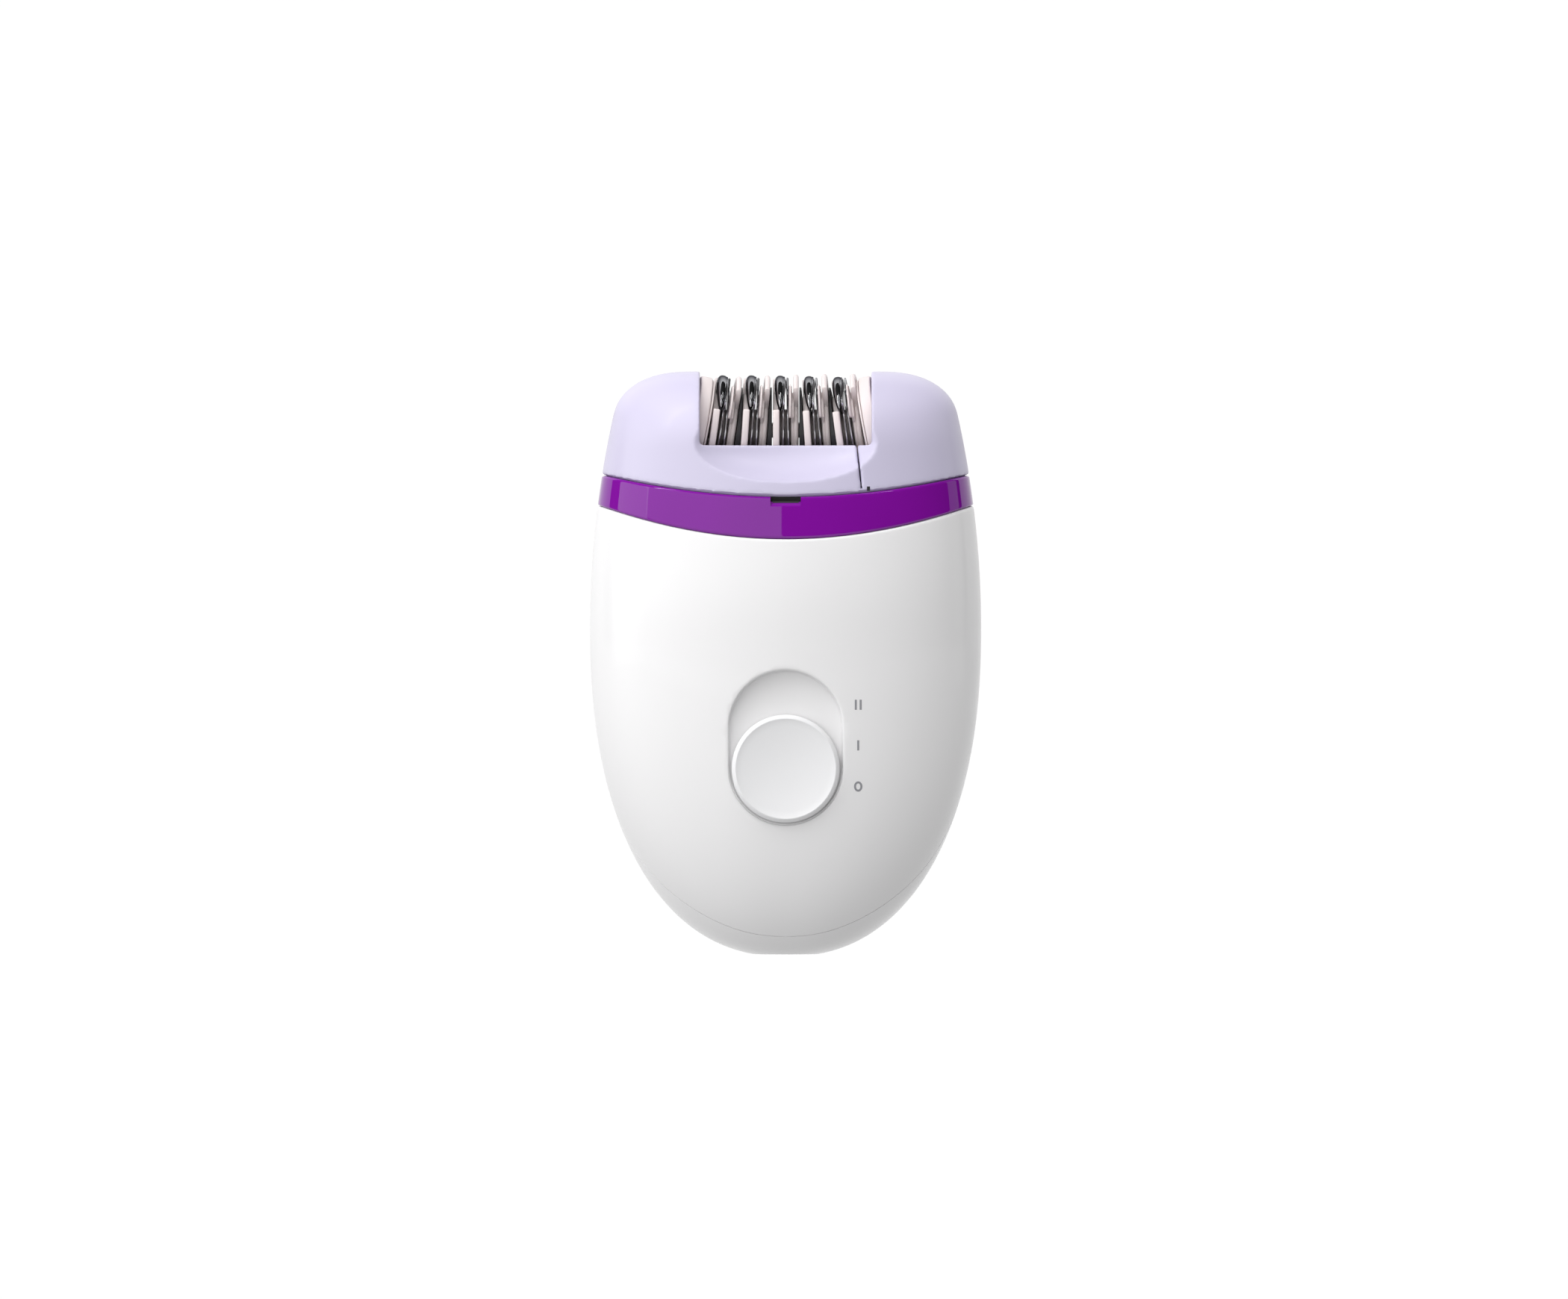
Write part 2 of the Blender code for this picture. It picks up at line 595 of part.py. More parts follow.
def gear_outline(teeth, module, phase):
    """Involute gear outline with slim teeth; phase turns it, in degrees from a tooth on the first axis."""
    pressure = math.radians(20)
    pitch = teeth * module / 2
    base = pitch * math.cos(pressure)
    radii = [pitch - 1.3 * module, pitch + 0.85 * module]
    half_at_pitch = 0.80 * math.pi / (2 * teeth)
    outline = []
    for tooth in range(teeth):
        middle = math.radians(phase) + 2 * math.pi * tooth / teeth
        flank = []
        for radius in radii:
            working = math.acos(min(base / max(radius, base), 1.0))
            flank.append((radius, half_at_pitch + involute(pressure) - involute(working)))
        for radius, half in flank:
            outline.append((radius * math.cos(middle - half), radius * math.sin(middle - half)))
        for radius, half in reversed(flank):
            outline.append((radius * math.cos(middle + half), radius * math.sin(middle + half)))
    return outline


def gear(name, teeth, module, phase, span, bore, frame):
    return prism(name, [gear_outline(teeth, module, phase), circle(bore, 12)], span[0], span[1], frame)


TOOTH_UP = 90.0


def make_gears():
    """In the gears' frame the first axis is world Y and the second is world Z."""
    bore = AXLE_RADIUS + CLEARANCE
    frame = at(ALONG_X, 0, 0, MOTOR_Z)
    pinion = gear("motor_pinion", PINION_TEETH, MODULE_FINE, TOOTH_UP, (16.6, 19.4), 1.0, frame)
    finish(pinion, "brass", (0, 0, MOTOR_Z))
    frame = at(ALONG_X, 0, 0, COMPOUND_Z)
    gap_down = -TOOTH_UP + 180 / WHEEL_TEETH
    wheel = gear("compound_gear", WHEEL_TEETH, MODULE_FINE, gap_down, WHEEL_X, bore, frame)
    small = gear("small", SMALL_TEETH, MODULE_COARSE, TOOTH_UP, TRAIN_X, bore + 0.1, frame)
    sleeve = [circle(2.9, 16), circle(bore + 0.2, 12)]
    sleeve = prism("sleeve", sleeve, WHEEL_X[1] - 0.6, TRAIN_X[0] + 0.6, frame)
    wheel = join(wheel, sleeve, small)
    finish(wheel, "natural_nylon", (0, 0, COMPOUND_Z))
    frame = at(ALONG_X, 0, 0, IDLER_Z)
    gap_down = -TOOTH_UP + 180 / IDLER_TEETH
    idler = gear("idler_gear", IDLER_TEETH, MODULE_COARSE, gap_down, TRAIN_X, bore, frame)
    finish(idler, "natural_nylon", (0, 0, IDLER_Z))
    frame = at(ALONG_X, 0, 0, DRUM_Z)
    drum = gear("drum_gear", DRUM_TEETH, MODULE_COARSE, -TOOTH_UP, TRAIN_X, SHAFT_RADIUS + CLEARANCE, frame)
    hub = [circle(2.7, 16), circle(SHAFT_RADIUS + CLEARANCE + 0.1, 12)]
    hub = prism("hub", hub, 19.2, TRAIN_X[0] + 1.0, frame)
    finish(join(drum, hub), "natural_nylon", (0, 0, DRUM_Z))


# --- head ----------------------------------------------------------------------------------------
def tilted(x, degrees, lean=FAN_LEAN):
    """Frame of a disc on the shaft: z is its axis, tipped so that the disc leans inwards at the top front.

    The frame's x points to the top front, where neighbouring discs come closest.
    """
    top_front = Vector((0, -math.sin(math.radians(lean)), math.cos(math.radians(lean))))
    angle = math.radians(degrees)
    axis = Vector((1, 0, 0)) * math.cos(angle) + top_front * math.sin(angle)
    inward = top_front * math.cos(angle) - Vector((1, 0, 0)) * math.sin(angle)
    across = axis.cross(inward)
    turn = Matrix((inward, across, axis)).transposed().to_4x4()
    return at(turn, x, 0.0, DRUM_Z)


def pocket():
    """Space for the drum: a cylinder about the shaft whose ends lean like the end discs."""
    room = cylinder("pocket", POCKET_RADIUS, -24.0, 24.0, at(ALONG_X, 0, 0, DRUM_Z), 32)
    edge = END_DISC_HALF + POCKET_END_GAP
    for side in (-1, 1):
        frame = tilted(side * END_DISC_X, side * END_DISC_TILT)
        low, high = sorted((side * edge, side * (edge + 20.0)))
        room = cut(room, cylinder("beyond", 30.0, low, high, frame, 8))
    return room


def scoop(side):
    """Bowl in front of (or behind) the drum, between the opening's walls."""
    shape = bmesh.new()
    bmesh.ops.create_uvsphere(shape, u_segments=24, v_segments=12, radius=1.0)
    for vert in shape.verts:
        local = [SCOOP_SIZE[axis] * vert.co[axis] for axis in range(3)]
        vert.co = Vector((local[0], side * SCOOP_DEPTH + local[1], SCOOP_HEIGHT + local[2])) * MM
    mesh = bpy.data.meshes.new("scoop")
    shape.to_mesh(mesh)
    shape.free()
    return link("scoop", mesh)


def head_body(name):
    """The head's outer form with the drum pocket, the opening and the two scoops cut out."""
    head = loft(name, crown_heights(CROWN_TOP))
    high = (130.0, 0.0)
    head = keep(head, rise_slab("above", (COLLAR_HIGH + SEAM_GAP, COLLAR_HIGH_RISE), high))
    head = cut(head, pocket())
    head = cut(head, box("opening", (-OPENING_HALF, -30.0, LIP_Z), (OPENING_HALF, 30.0, 115.0)))
    head = cut(head, scoop(-1), scoop(1))
    recess = keep(loft("base_recess", [80.0, 85.0, 90.0, 95.0], WALL),
                  rise_slab("band", (70.0, 0.0), (COLLAR_HIGH + SEAM_GAP + 1.4, COLLAR_HIGH_RISE)))
    return cut(head, recess)


def parting_x(z):
    """The side cover's parting line leans outwards towards the base."""
    return COVER_PARTING_X + COVER_PARTING_SLOPE * (LIP_Z - z)


def beside_parting(name, far_x, gap):
    """Everything on one side of the parting plane."""
    low, high = 50.0, 130.0
    outline = [(far_x, low), (parting_x(low) + gap, low), (parting_x(high) + gap, high), (far_x, high)]
    return prism(name, [outline], -50.0, 50.0, FACING_FRONT)


def hollow(name, low_x, high_x, top):
    """Inside of a cheek, open below."""
    space = loft(name, [80.0, 85.0, 90.0, 95.0, 100.0, top], WALL)
    return keep(space, box("range", (low_x, -40.0, 70.0), (high_x, 40.0, 120.0)))


def make_head():
    frame = head_body("head_frame")
    frame = keep(frame, beside_parting("left_part", -50.0, -0.1))
    frame = cut(frame, hollow("left_cheek", -40.0, -22.6, 104.0))
    shaft_line = at(ALONG_X, 0, 0, DRUM_Z)
    frame = cut(frame, cylinder("shaft_seat", SHAFT_RADIUS + CLEARANCE, -22.0, -15.0, shaft_line))
    frame = cut(frame, *screw_space(HEAD_SCREWS[0]))
    finish(frame, "lilac_satin", sharp=30)
    cover = head_body("head_side_cover")
    cover = keep(cover, beside_parting("right_part", 50.0, 0.1))
    chamber = prism("chamber", [stadium(8.5, 80.0, DRUM_Z)], TRAIN_X[0] - 0.5, TRAIN_X[1] + 0.5, at(ALONG_X))
    cover = cut(cover, chamber)
    cover = cut(cover, hollow("right_cheek", 28.4, 40.0, 102.0))
    cover = cut(cover, cylinder("hub_hole", 3.1, 14.0, 22.0, shaft_line))
    cover = cut(cover, cylinder("shaft_seat", SHAFT_RADIUS + CLEARANCE, 23.0, 27.0, shaft_line))
    cover = cut(cover, *screw_space(HEAD_SCREWS[1]))
    finish(cover, "lilac_satin", sharp=30)
    make_head_base()
    finish(cylinder("drum_shaft", SHAFT_RADIUS, -21.6, 26.6, shaft_line, 20), "polished_steel")


HEAD_SCREWS = ((-20.4, 12.2), (19.0, 12.2))


def base_height(x):
    return rise_curve(COLLAR_HIGH + SEAM_GAP + 0.2, COLLAR_HIGH_RISE, x)


def screw_space(place):
    """Pilot hole of a head screw, going up from the base plate."""
    x, y = place
    return [cylinder("pilot", 1.0, base_height(x), base_height(x) + 6.5, at(UPRIGHT, x, y), 12)]


def make_head_base():
    base = loft("head_base", [80.0, 85.0, 90.0, 95.0], WALL + CLEARANCE)
    low = (COLLAR_HIGH + SEAM_GAP + 0.15, COLLAR_HIGH_RISE)
    base = keep(base, rise_slab("band", low, (low[0] + 0.9, low[1])))
    base = cut(base, box("gear_hole", (TRAIN_X[0] - 0.6, -7.8, 80.0), (TRAIN_X[1] + 0.6, 7.8, 95.0)))
    for number, (x, y) in enumerate(HEAD_SCREWS, 1):
        base = cut(base, cylinder("screw_hole", 1.9, 80.0, 95.0, at(UPRIGHT, x, y), 12))
        seat = base_height(x) - 0.1
        shank = [(0, seat + 5.8), (0.68, seat + 5.2), (0.68, seat + 1.0)]
        profile = shank + [(1.5, seat + 0.4), (1.5, seat), (0, seat)]
        finish(turned(f"head_screw_{number}", profile, at(UPRIGHT, x, y), 12), "plated_steel")
    finish(base, "grey_nylon")


# --- drum ----------------------------------------------------------------------------------------
# Angles are degrees from the top towards the front; the X pairs are places along a disc's own axis
HUB_RADIUS = 3.9
RING_RADIUS = 7.6
BLADE_RADIUS = 9.9
WEB = (0.31, 0.71)
EAR = (-20.0, 108.0)
DOME_MIDDLE, DOME_RADIUS, DOME_REACH = 18.0, 8.6, 1.95
DOME_SIZE = (1.45, 3.9)
SHORT_BAR, SHORT_BAR_X = (60.0, 158.0), (-2.4, -1.2)
LONG_BAR, LONG_BAR_X = (-5.0, 100.0), (1.45, 2.4)
SPOOL_RING_RADIUS = 6.6
PLATE_RADIUS, PLATE_START = 8.0, 0.98
SPACER_RADIUS, SPACER_GAP = 8.0, 0.15


def to_disc_angle(from_top):
    """Angle in a disc's own frame of a direction given in degrees from the top towards the front."""
    return FAN_LEAN - from_top


def eared_ring(inner, ring, outer, span, hole_segments=14):
    """Outline of a ring with two opposite ears that reach the outer radius over an angular span."""
    start, end = to_disc_angle(span[1]), to_disc_angle(span[0])
    outline = []
    for half in (0.0, 180.0):
        for step in range(6):
            angle = math.radians(half + start + (end - start) * step / 5)
            outline.append((outer * math.cos(angle), outer * math.sin(angle)))
        for step in range(1, 3):
            angle = math.radians(half + end + (180 - (end - start)) * step / 3)
            outline.append((ring * math.cos(angle), ring * math.sin(angle)))
    return [outline, circle(inner, hole_segments)]


def make_spool(number, frame):
    """Cream disc pair: a hub, a short bar on the left, a round plate and a long bar on the right."""
    (short_low, short_high), (long_low, long_high) = SHORT_BAR_X, LONG_BAR_X
    bore = circle(SHAFT_RADIUS + 0.8, 10)
    spool = prism(f"spool_{number}", [circle(HUB_RADIUS, 14), bore], short_high - 0.3, long_low + 0.3, frame)
    hole = SHAFT_RADIUS + 0.9
    short = eared_ring(hole, SPOOL_RING_RADIUS, RIM_RADIUS - 0.3, SHORT_BAR, 10)
    long = eared_ring(hole, SPOOL_RING_RADIUS, RIM_RADIUS, LONG_BAR, 10)
    spool = join(spool, prism("short", short, short_low, short_high, frame))
    spool = join(spool, prism("long", long, long_low, long_high, frame))
    plate = [circle(PLATE_RADIUS, 24), circle(hole + 0.1, 10)]
    spool = join(spool, prism("plate", plate, PLATE_START, long_low + 0.2, frame))
    finish(spool, "cream_plastic")


def tips(frame):
    """The left tweezer's two rounded tips: ellipsoids cut flat on the side that meets the right tweezer."""
    made = []
    inner_side = -WEB[0] - 0.02
    for half in (0.0, 180.0):
        shape = bmesh.new()
        bmesh.ops.create_uvsphere(shape, u_segments=8, v_segments=6, radius=1.0)
        turn = Matrix.Rotation(math.radians(half + to_disc_angle(DOME_MIDDLE)), 4, "Z")
        for vert in shape.verts:
            radial, around, along = vert.co
            outward = DOME_RADIUS + radial * DOME_SIZE[0]
            place = Vector((outward, around * DOME_SIZE[1], inner_side + along * DOME_REACH))
            vert.co = (turn @ place) * MM
        everything = shape.verts[:] + shape.edges[:] + shape.faces[:]
        bmesh.ops.bisect_plane(shape, geom=everything, plane_co=(0, 0, inner_side * MM), plane_no=(0, 0, 1),
                               clear_outer=True)
        bmesh.ops.holes_fill(shape, edges=[e for e in shape.edges if e.is_boundary])
        mesh = bpy.data.meshes.new("tip")
        shape.to_mesh(mesh)
        shape.free()
        made.append(link("tip", clean(mesh), frame))
    return made


def make_tweezer(name, side, frame):
    """Steel tweezer disc: a thin eared ring, with a rounded tip on each ear of the left one."""
    low, high = sorted((side * WEB[0], side * WEB[1]))
    disc = prism(name, eared_ring(HUB_RADIUS + 0.7, RING_RADIUS, BLADE_RADIUS, EAR), low, high, frame)
    if side < 0:
        disc = join(disc, *tips(frame))
    finish(disc, "polished_steel")


def make_spacer(number, left_unit, right_unit):
    """Fixed wedge on the shaft that keeps two neighbouring units apart; a unit is its place and tilt."""
    middle = [(left + right) / 2 for left, right in zip(left_unit, right_unit)]
    wedge = cylinder(f"drum_spacer_{number}", SPACER_RADIUS, -3.0, 3.0, tilted(*middle), 24)
    reach = SPACER_RADIUS + 4.0
    wedge = cut(wedge, cylinder("left", reach, -9.0, LONG_BAR_X[1] + SPACER_GAP, tilted(*left_unit), 8))
    wedge = cut(wedge, cylinder("right", reach, SHORT_BAR_X[0] - SPACER_GAP, 9.0, tilted(*right_unit), 8))
    wedge = cut(wedge, cylinder("hole", SHAFT_RADIUS + CLEARANCE, -25.0, 25.0, at(ALONG_X, 0, 0, DRUM_Z), 16))
    finish(wedge, "black_plastic")


def make_drum():
    steps = [number - (UNITS + 1) / 2 for number in range(1, UNITS + 1)]
    units = [(UNIT_PITCH * step, UNIT_TILT * step) for step in steps]
    for number in range(1, UNITS):
        make_spacer(number, units[number - 1], units[number])
    for number, (x, tilt) in enumerate(units, 1):
        make_spool(number, tilted(x, tilt))
        make_tweezer(f"tweezer_left_{number}", -1, tilted(x, tilt - TWEEZER_TILT))
        make_tweezer(f"tweezer_right_{number}", 1, tilted(x, tilt + TWEEZER_TILT))
    for side, name in ((-1, "end_disc_left"), (1, "end_disc_right")):
        half, outer, bore = END_DISC_HALF, END_DISC_RADIUS, SHAFT_RADIUS + 0.7
        rim = [(outer - 0.3, half), (outer, half - 0.3), (outer, -half + 0.3), (outer - 0.3, -half)]
        profile = rim + [(bore, -half), (bore, half)]
        frame = tilted(side * END_DISC_X, side * END_DISC_TILT)
        finish(turned(name, profile, frame, 28), "cream_plastic")


make_front_shell()
make_rear_shell()
make_shell_screws()
make_collar()
make_socket()
make_chassis()
make_motor()
make_electronics()
make_button()
make_gears()
make_head()
make_drum()
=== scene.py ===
"""Epilator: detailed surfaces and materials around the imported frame.

Lengths in the tables and formulas are millimetres; MM turns them into metres.
"""
import json
import math

import bmesh
import bpy
import numpy as np
from mathutils import Matrix, Vector


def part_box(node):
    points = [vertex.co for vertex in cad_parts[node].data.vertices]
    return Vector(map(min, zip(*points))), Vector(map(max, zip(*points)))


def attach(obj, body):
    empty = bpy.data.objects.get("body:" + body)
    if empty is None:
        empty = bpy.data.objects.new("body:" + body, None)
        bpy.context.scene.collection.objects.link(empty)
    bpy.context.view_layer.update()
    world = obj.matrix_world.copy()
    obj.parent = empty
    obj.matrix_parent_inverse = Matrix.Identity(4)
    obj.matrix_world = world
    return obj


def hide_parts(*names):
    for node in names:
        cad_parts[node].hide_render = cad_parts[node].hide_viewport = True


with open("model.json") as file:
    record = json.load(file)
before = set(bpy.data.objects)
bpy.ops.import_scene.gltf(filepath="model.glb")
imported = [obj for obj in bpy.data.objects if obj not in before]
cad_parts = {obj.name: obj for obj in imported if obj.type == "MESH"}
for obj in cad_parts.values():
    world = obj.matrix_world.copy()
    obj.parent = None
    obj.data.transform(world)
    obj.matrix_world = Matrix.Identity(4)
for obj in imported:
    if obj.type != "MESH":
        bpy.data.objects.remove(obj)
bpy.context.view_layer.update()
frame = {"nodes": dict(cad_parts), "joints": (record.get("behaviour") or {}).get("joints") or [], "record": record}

MM = 0.001
SCENE = bpy.context.scene.collection

# --- the handle's and head's outline, as in the design -------------------------------------------
WIDEST_Z, BASE_FLATTEN = 60.8, 0.5
HALF_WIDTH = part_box("front_shell")[1][0] / MM
HALF_DEPTH = 21.5
WIDTH_POWER, DEPTH_POWER = 2.27, 3.0
WIDTH_TAPER = 0.0028
DEPTH_TAPER, DEPTH_TAPER_REACH = 5.2, 30.0
SECTION_POWER = 2.3
WALL, SEAM_GAP = 1.8, 0.3
FINE_GAP = 0.05             # seams between pieces of one body
BEND_START = 45.0           # rows of the handle are level below this height, and follow the collar above it
COLLAR_LOW, COLLAR_LOW_RISE = 77.0, 6.0
COLLAR_HIGH, COLLAR_HIGH_RISE = 84.8, 4.1
RISE_REACH = 34.0
CROWN_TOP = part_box("head_frame")[1][2] / MM
CROWN_SIDE_START, CROWN_SIDE_FALL, CROWN_SIDE_POWER = 100.0, 12.0, 2.35
CROWN_FRONT_START, CROWN_FRONT_FALL = 94.0, 15.0
OPENING_HALF, LIP_Z = 15.9, 94.4
PARTING_X, PARTING_SLOPE = 13.2, 0.10

# Scoop in front of the drum, and its twin behind
SCOOP_SIZE = (19.4, 8.8, 7.9)
SCOOP_DEPTH, SCOOP_HEIGHT = 20.3, 95.4

# Drum
JOINTS = {joint["name"]: joint for joint in frame["joints"]}
DRUM_Z = JOINTS["spool_3_spin"]["pos_m"][2] / MM
UNITS, FAN_LEAN = 5, 22.0
POCKET_RADIUS, POCKET_END, RIM_RADIUS = 10.6, 1.55, 10.35
SHAFT_RADIUS = 1.4

# Switch; the faces are depths along Y
BUTTON_Z, BUTTON_TRAVEL, BUTTON_RADIUS = 34.6, 7.6, 9.97
BUTTON_FACE_Y, RECESS_RADIUS, RECESS_FLOOR_Y = -21.4, 10.52, -19.2


def half_width(z):
    """Half of the outline's width at a height."""
    z = np.asarray(z, float)
    reach = np.clip((WIDEST_Z - z) / (WIDEST_Z + BASE_FLATTEN), 0, 1)
    low = HALF_WIDTH * (1 - reach ** WIDTH_POWER) ** (1 / WIDTH_POWER)
    high = HALF_WIDTH - WIDTH_TAPER * (z - WIDEST_Z) ** 2
    rise = np.clip((z - CROWN_SIDE_START) / (CROWN_TOP - CROWN_SIDE_START), 0, 1)
    high = high - CROWN_SIDE_FALL * (1 - (1 - rise ** CROWN_SIDE_POWER) ** (1 / CROWN_SIDE_POWER))
    return np.where(z < WIDEST_Z, low, high)


def half_depth(z):
    """Half of the outline's depth at a height."""
    z = np.asarray(z, float)
    reach = np.clip((WIDEST_Z - z) / (WIDEST_Z + BASE_FLATTEN), 0, 1)
    low = HALF_DEPTH * (1 - reach ** DEPTH_POWER) ** (1 / DEPTH_POWER)
    high = HALF_DEPTH - DEPTH_TAPER * (1 - np.exp(-(((z - WIDEST_Z) / DEPTH_TAPER_REACH) ** 2)))
    rise = np.clip((z - CROWN_FRONT_START) / (CROWN_TOP - CROWN_FRONT_START), 0, 1)
    high = np.maximum(high - CROWN_FRONT_FALL * (1 - np.sqrt(1 - rise ** 2)), 2.0)
    return np.where(z < WIDEST_Z, low, high)


def outline_point(theta, z, inset=0.0):
    """Point of the outline at an angle and height, moved inwards; arrays in, array of points out."""
    c, s = np.cos(theta), np.sin(theta)
    x = (half_width(z) - inset) * np.sign(c) * np.abs(c) ** (2 / SECTION_POWER)
    y = (half_depth(z) - inset) * np.sign(s) * np.abs(s) ** (2 / SECTION_POWER)
    return np.stack(np.broadcast_arrays(x, y, z), axis=-1)


def front_y(x, z):
    """Depth of the handle's front surface at a place on the front view."""
    share = np.abs(np.asarray(x, float)) / half_width(z)
    return -half_depth(z) * (1 - share ** SECTION_POWER) ** (1 / SECTION_POWER)


def rise_at(height, rise, x):
    """Height of a collar edge at a place across: it rises towards both sides."""
    return height + rise * (np.asarray(x) / RISE_REACH) ** 2


def seam_y(z):
    """Depth of the seam between the shells: it comes forward towards the base."""
    return -12.5 * np.exp(-((np.asarray(z, float) / 21.0) ** 2))


# --- materials -----------------------------------------------------------------------------------
def shader_of(name):
    """New material with its nodes, links and shader."""
    made = bpy.data.materials.new(name)
    made.use_nodes = True
    return made, made.node_tree.nodes, made.node_tree.links, made.node_tree.nodes["Principled BSDF"]


def noise(nodes, links, scale, detail=3.0, stretch=(1, 1, 1)):
    """Noise in object space; scale is in cycles a metre."""
    place = nodes.new("ShaderNodeTexCoord")
    spread = nodes.new("ShaderNodeMapping")
    spread.inputs["Scale"].default_value = stretch
    grain = nodes.new("ShaderNodeTexNoise")
    grain.inputs["Scale"].default_value = scale
    grain.inputs["Detail"].default_value = detail
    links.new(place.outputs["Object"], spread.inputs["Vector"])
    links.new(spread.outputs["Vector"], grain.inputs["Vector"])
    return grain.outputs["Fac"]


def ranged(nodes, links, source, low, high):
    """A noise value spread from low to high."""
    step = nodes.new("ShaderNodeMapRange")
    step.inputs["From Min"].default_value = 0.3
    step.inputs["From Max"].default_value = 0.7
    step.inputs["To Min"].default_value = low
    step.inputs["To Max"].default_value = high
    links.new(source, step.inputs["Value"])
    return step.outputs["Result"]


def tinted(nodes, links, source, first, second):
    """A noise value turned into a mix of two colours."""
    mix = nodes.new("ShaderNodeValToRGB")
    for stop, position, colour in zip(mix.color_ramp.elements, (0.3, 0.7), (first, second)):
        stop.position = position
        stop.color = (*colour, 1.0)
    links.new(source, mix.inputs["Fac"])
    return mix.outputs["Color"]


def bumped(nodes, links, shader, source, distance, strength):
    """Small relief from a noise value; distance is its height in metres."""
    bump = nodes.new("ShaderNodeBump")
    bump.inputs["Strength"].default_value = strength
    bump.inputs["Distance"].default_value = distance
    links.new(source, bump.inputs["Height"])
    links.new(bump.outputs["Normal"], shader.inputs["Normal"])


def moulded(name, colour, roughness, coat=0.0, grain=2500.0, depth=0.000004, spread=0.03,
            subsurface=0.0):
    """Moulded plastic: slight unevenness of tint and gloss, and a fine tool texture."""
    made, nodes, links, shader = shader_of(name)
    broad = noise(nodes, links, 60.0, 2.0)
    dark = tuple(c * (1 - spread) for c in colour)
    links.new(tinted(nodes, links, broad, dark, colour), shader.inputs["Base Color"])
    gloss = ranged(nodes, links, noise(nodes, links, 140.0, 3.0), roughness * 0.9, roughness * 1.12)
    links.new(gloss, shader.inputs["Roughness"])
    bumped(nodes, links, shader, noise(nodes, links, grain, 2.0), depth, 0.5)
    shader.inputs["Coat Weight"].default_value = coat
    shader.inputs["Coat Roughness"].default_value = 0.03
    if subsurface:
        shader.inputs["Subsurface Weight"].default_value = subsurface
        shader.inputs["Subsurface Radius"].default_value = (0.002, 0.0018, 0.0018)
        shader.inputs["Subsurface Scale"].default_value = 1.0
    return made


def set_socket(material, socket, value):
    """Give one socket of a material's shader a value."""
    material.node_tree.nodes["Principled BSDF"].inputs[socket].default_value = value


def metal(name, colour, roughness, stretch=(1, 1, 1), grain=3000.0, depth=0.000002):
    """Metal with faint working marks along one direction."""
    made, nodes, links, shader = shader_of(name)
    shader.inputs["Metallic"].default_value = 1.0
    marks = noise(nodes, links, grain, 3.0, stretch)
    dark = tuple(c * 0.86 for c in colour)
    blend = tinted(nodes, links, noise(nodes, links, 400.0), dark, colour)
    links.new(blend, shader.inputs["Base Color"])
    links.new(ranged(nodes, links, marks, roughness * 0.7, roughness * 1.35), shader.inputs["Roughness"])
    bumped(nodes, links, shader, marks, depth, 0.4)
    return made


WHITE = moulded("white_gloss", (0.80, 0.795, 0.80), 0.32, coat=0.25, spread=0.008, depth=0.0000008)
PURPLE = moulded("purple_gloss", (0.19, 0.0045, 0.285), 0.38, coat=1.0, spread=0.05, depth=0.0000005)
set_socket(PURPLE, "Specular IOR Level", 0.0)
set_socket(PURPLE, "Coat Roughness", 0.015)
LILAC = moulded("lilac_satin", (0.555, 0.523, 0.672), 0.36, coat=0.10, spread=0.015, grain=4000.0,
                depth=0.000006)
CREAM = moulded("cream_plastic", (0.74, 0.66, 0.655), 0.38, spread=0.04, subsurface=0.15)
SWITCH = moulded("switch_plastic", (0.78, 0.78, 0.79), 0.42, spread=0.012, grain=5000.0, depth=0.00001)
INK = moulded("print_grey", (0.27, 0.27, 0.29), 0.5, spread=0.05)
GREY = moulded("grey_nylon", (0.24, 0.24, 0.26), 0.52, spread=0.12, depth=0.00001)
NYLON = moulded("natural_nylon", (0.70, 0.67, 0.58), 0.45, spread=0.05, subsurface=0.2)
# Black plastic for the leads, the head mark and the black_parts slot. On the latch tab in the collar's notch and
# on the spacers between drum units, this black is painted shade for the dark inside those gaps.
BLACK_AND_SHADE = moulded("black_plastic", (0.018, 0.018, 0.020), 0.42, spread=0.3)
RED = moulded("red_insulation", (0.45, 0.02, 0.02), 0.45, spread=0.15)
GREEN = moulded("board_green", (0.015, 0.13, 0.05), 0.40, coat=0.4, spread=0.35, grain=800.0)
STEEL = metal("tweezer_steel", (0.55, 0.55, 0.57), 0.08, depth=0.000001)
set_socket(STEEL, "Specular Tint", (0.12, 0.12, 0.13, 1.0))
PLATED = metal("plated_steel", (0.55, 0.55, 0.54), 0.28, stretch=(1, 1, 8))
BRASS = metal("brass", (0.68, 0.44, 0.15), 0.24)
IRON = metal("iron_core", (0.12, 0.11, 0.11), 0.45, stretch=(12, 1, 1), grain=1500.0, depth=0.00002)

SLOTS = {
    "white_shell": WHITE, "purple_collar": PURPLE, "lilac_head": LILAC, "cream_discs": CREAM,
    "switch_white": SWITCH, "chassis_grey": GREY, "gear_nylon": NYLON, "tweezer_steel": STEEL,
    # black_parts includes the latch tab and the drum spacers, which are black as painted shade
    "plated_steel": PLATED, "brass_parts": BRASS, "iron_core": IRON, "black_parts": BLACK_AND_SHADE,
    "board": GREEN, "red_lead": RED, "black_lead": BLACK_AND_SHADE,
}


def dress_frame():
    """Every carried-over node takes the finish of its material slot."""
    for part in frame["record"]["subparts"]:
        node = frame["nodes"][part["node"]]
        node.data.materials.clear()
        node.data.materials.append(SLOTS[part["material_slot"]])


# --- mesh helpers --------------------------------------------------------------------------------
def mesh_of(name, points, faces):
    """Mesh from points in millimetres."""
    mesh = bpy.data.meshes.new(name)
    mesh.from_pydata([tuple(p) for p in np.asarray(points) * MM], [], faces)
    return mesh


